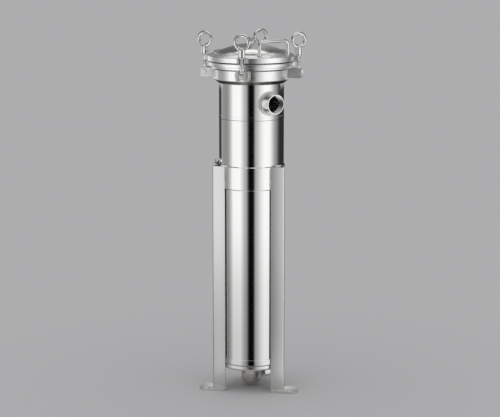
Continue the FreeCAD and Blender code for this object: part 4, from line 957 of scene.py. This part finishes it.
# Brightness of the softbox ring by turn, in degrees from the front, with straight lines between
SOFTBOX_MARKS = (
    (-180, 0.95), (-170, 0.8), (-158, 0.1), (-150, 0.05), (-126, 0.05), (-118, 0.44), (-108, 0.32),
    (-84, 0.32), (-72, 0.60), (-62, 1.12), (-36, 1.16), (-24, 0.62), (-15, 0.42), (-10.5, 0.08), (-8, 0.0),
    (6.5, 0.0), (9, 0.14), (12.5, 0.48), (18, 0.56), (30, 0.94), (42, 1.16), (60, 1.14), (70, 0.78),
    (80, 0.42), (92, 0.26), (100, 0.08), (110, 0.03), (150, 0.03), (158, 0.1), (170, 0.8), (180, 0.95))
# Its rows, in metres: (radius, level, share of the marks, plain glow all round)
SOFTBOX_ROWS = (
    (0.20, 0.004, 0.62, 0.0), (0.5, 0.004, 0.62, 0.0), (0.5, 0.1, 0.64, 0.0), (0.5, 0.27, 0.74, 0.0),
    (0.5, 0.48, 0.96, 0.0), (0.5, 0.6, 1.0, 0.0), (0.5, 0.99, 1.0, 0.0), (0.5, 1.03, 1.0, 0.0),
    (0.5, 1.18, 1.0, 0.0), (0.5, 1.24, 0.1, 0.12), (0.5, 1.72, 0.1, 0.12), (0.5, 1.78, 0.0, 1.15),
    (0.5, 2.02, 0.0, 1.15), (0.5, 2.07, 0.0, 0.06), (0.5, 2.2, 0.0, 0.06), (0.5, 2.26, 0.0, 0.9),
    (0.5, 2.6, 0.0, 0.9))


class HOUSING_OT_stage(bpy.types.Operator):
    """Sets the floor, the softboxes round the object, the world and the camera"""
    bl_idname = "housing.stage"
    bl_label = "Stage"

    def execute(self, context):
        stage = context.scene.housing_stage
        tint = (*stage.backdrop_tint, 1)
        self.make_world(context, tint)
        self.make_floor(tint)
        self.make_softboxes(stage.glow)
        lens = bpy.data.cameras.new("camera")
        lens.sensor_width = 36.0
        lens.lens = stage.lens
        lens.shift_x = -0.003
        lens.clip_end = 200.0
        camera = in_scene("camera", lens)
        camera.location = (0, -stage.camera_distance, stage.camera_height)
        camera.rotation_euler = (math.radians(90) - stage.camera_tilt, 0, 0)
        context.scene.camera = camera
        context.scene.view_settings.view_transform = "Standard"
        return {"FINISHED"}

    def make_world(self, context, tint):
        """One plain tone, for the camera and for the light alike."""
        world = bpy.data.worlds.new("studio")
        world.use_nodes = True
        back = world.node_tree.nodes["Background"]
        back.inputs["Color"].default_value = tint
        back.inputs["Strength"].default_value = 1.0
        context.scene.world = world

    def make_floor(self, tint):
        """A wide floor that takes the object's shadow and fades into the background tone."""
        radius, level, rings = 40.0, -0.0005, 24
        disc = lathe([(radius * (k / rings) ** 2, level) for k in range(rings + 1)], 96, closed=False)
        data = mesh_data("floor", disc, 1.0)
        floor = in_scene("floor", data)
        material, tree, leave = self.bare_material("pale_floor")
        place = new_node(tree, "ShaderNodeTexCoord")
        far = new_node(tree, "ShaderNodeVectorMath", operation="LENGTH")
        fade = new_node(tree, "ShaderNodeMapRange", {"From Min": 0.35, "From Max": 1.3},
                        interpolation_type="SMOOTHSTEP")
        paint = new_node(tree, "ShaderNodeBsdfDiffuse", {"Color": (0.76, 0.755, 0.765, 1)})
        glow = new_node(tree, "ShaderNodeEmission", {"Color": tint})
        mix = new_node(tree, "ShaderNodeMixShader")
        link(tree, (place, "Object", far, 0), (far, "Value", fade, "Value"), (fade, "Result", mix, "Fac"),
             (paint, "BSDF", mix, 1), (glow, "Emission", mix, 2), (mix, "Shader", leave, "Surface"))
        data.materials.append(material)

    def make_softboxes(self, glow):
        """A close ring of softboxes with dark gaps and a lit ceiling, for the reflections."""
        columns = 720
        wall = lathe([row[:2] for row in SOFTBOX_ROWS], columns, closed=False)
        turns = [(360 * i / columns + 180) % 360 - 180 for i in range(columns)]
        glows = [self.softbox(turn, *row[1:]) * glow for row in SOFTBOX_ROWS for turn in turns]
        ring = self.glowing("softbox_ring", wall, glows)
        ceiling = lathe([(0.0, 2.9), (0.7, 2.9), (1.7, 2.75)], 48, closed=False)
        roof = self.glowing("softbox_ceiling", ceiling, [0.9 * glow] * len(ceiling[0]))
        for piece in (ring, roof):
            piece.visible_camera = False
            piece.visible_diffuse = piece is roof
            piece.visible_shadow = piece is roof

    def softbox(self, turn, level, share, plain):
        """How bright the ring is at a turn and a level."""
        for (t0, g0), (t1, g1) in zip(SOFTBOX_MARKS, SOFTBOX_MARKS[1:]):
            if turn <= t1:
                value = g0 + (g1 - g0) * (turn - t0) / (t1 - t0)
                break
        value = value * (share ** 0.5 if turn > 0 else share) + plain
        # Behind the object, the low rows stay lit for other views, and the row that the collar
        # mirrors is bright beside and dim straight behind
        behind = min(1.0, max(0.0, (abs(turn) - 146) / 10))
        if level < 0.45:
            value += 0.5 * behind * min(1.0, (0.48 - level) / 0.2)
        if 1.0 < level < 1.2 and abs(turn) > 112:
            value = 0.95 - 0.7 * behind
        return value

    def glowing(self, name, mesh, glows):
        """A piece whose points shine with their own strengths."""
        data = mesh_data(name, mesh, 1.0)
        data.attributes.new("glow", "FLOAT", "POINT").data.foreach_set("value", glows)
        material, tree, leave = self.bare_material(name)
        shine = new_node(tree, "ShaderNodeEmission")
        amount = new_node(tree, "ShaderNodeAttribute", attribute_name="glow")
        link(tree, (amount, "Fac", shine, "Strength"), (shine, "Emission", leave, "Surface"))
        data.materials.append(material)
        return in_scene(name, data)

    def bare_material(self, name):
        """A material with nothing but its output."""
        material = bpy.data.materials.new(name)
        material.use_nodes = True
        tree = material.node_tree
        tree.nodes.clear()
        return material, tree, tree.nodes.new("ShaderNodeOutputMaterial")


STEPS = (HOUSING_OT_finishes, HOUSING_OT_vessel, HOUSING_OT_closure, HOUSING_OT_ports, HOUSING_OT_legs,
         HOUSING_OT_clamps, HOUSING_OT_lid_fittings, HOUSING_OT_filter_bag, HOUSING_OT_welds,
         HOUSING_OT_stage)


class HOUSING_PT_panel(bpy.types.Panel):
    """Lists the steps that dress the housing"""
    bl_idname = "HOUSING_PT_panel"
    bl_label = "Filter housing"
    bl_space_type = "VIEW_3D"
    bl_region_type = "UI"
    bl_category = "Housing"

    def draw(self, context):
        for step in STEPS:
            self.layout.operator(step.bl_idname)


CLASSES = (HousingSizes, HousingFinish, HousingStage, *STEPS, HOUSING_PT_panel)
GROUPS = {"housing_sizes": HousingSizes, "housing_finish": HousingFinish, "housing_stage": HousingStage}


def register():
    for kind in CLASSES:
        bpy.utils.register_class(kind)
    for name, group in GROUPS.items():
        setattr(bpy.types.Scene, name, bpy.props.PointerProperty(type=group))


def unregister():
    for name in GROUPS:
        delattr(bpy.types.Scene, name)
    for kind in reversed(CLASSES):
        bpy.utils.unregister_class(kind)


def main():
    register()
    for step in STEPS:
        family, name = step.bl_idname.split(".")
        getattr(getattr(bpy.ops, family), name)()


if __name__ == "__main__":
    main()
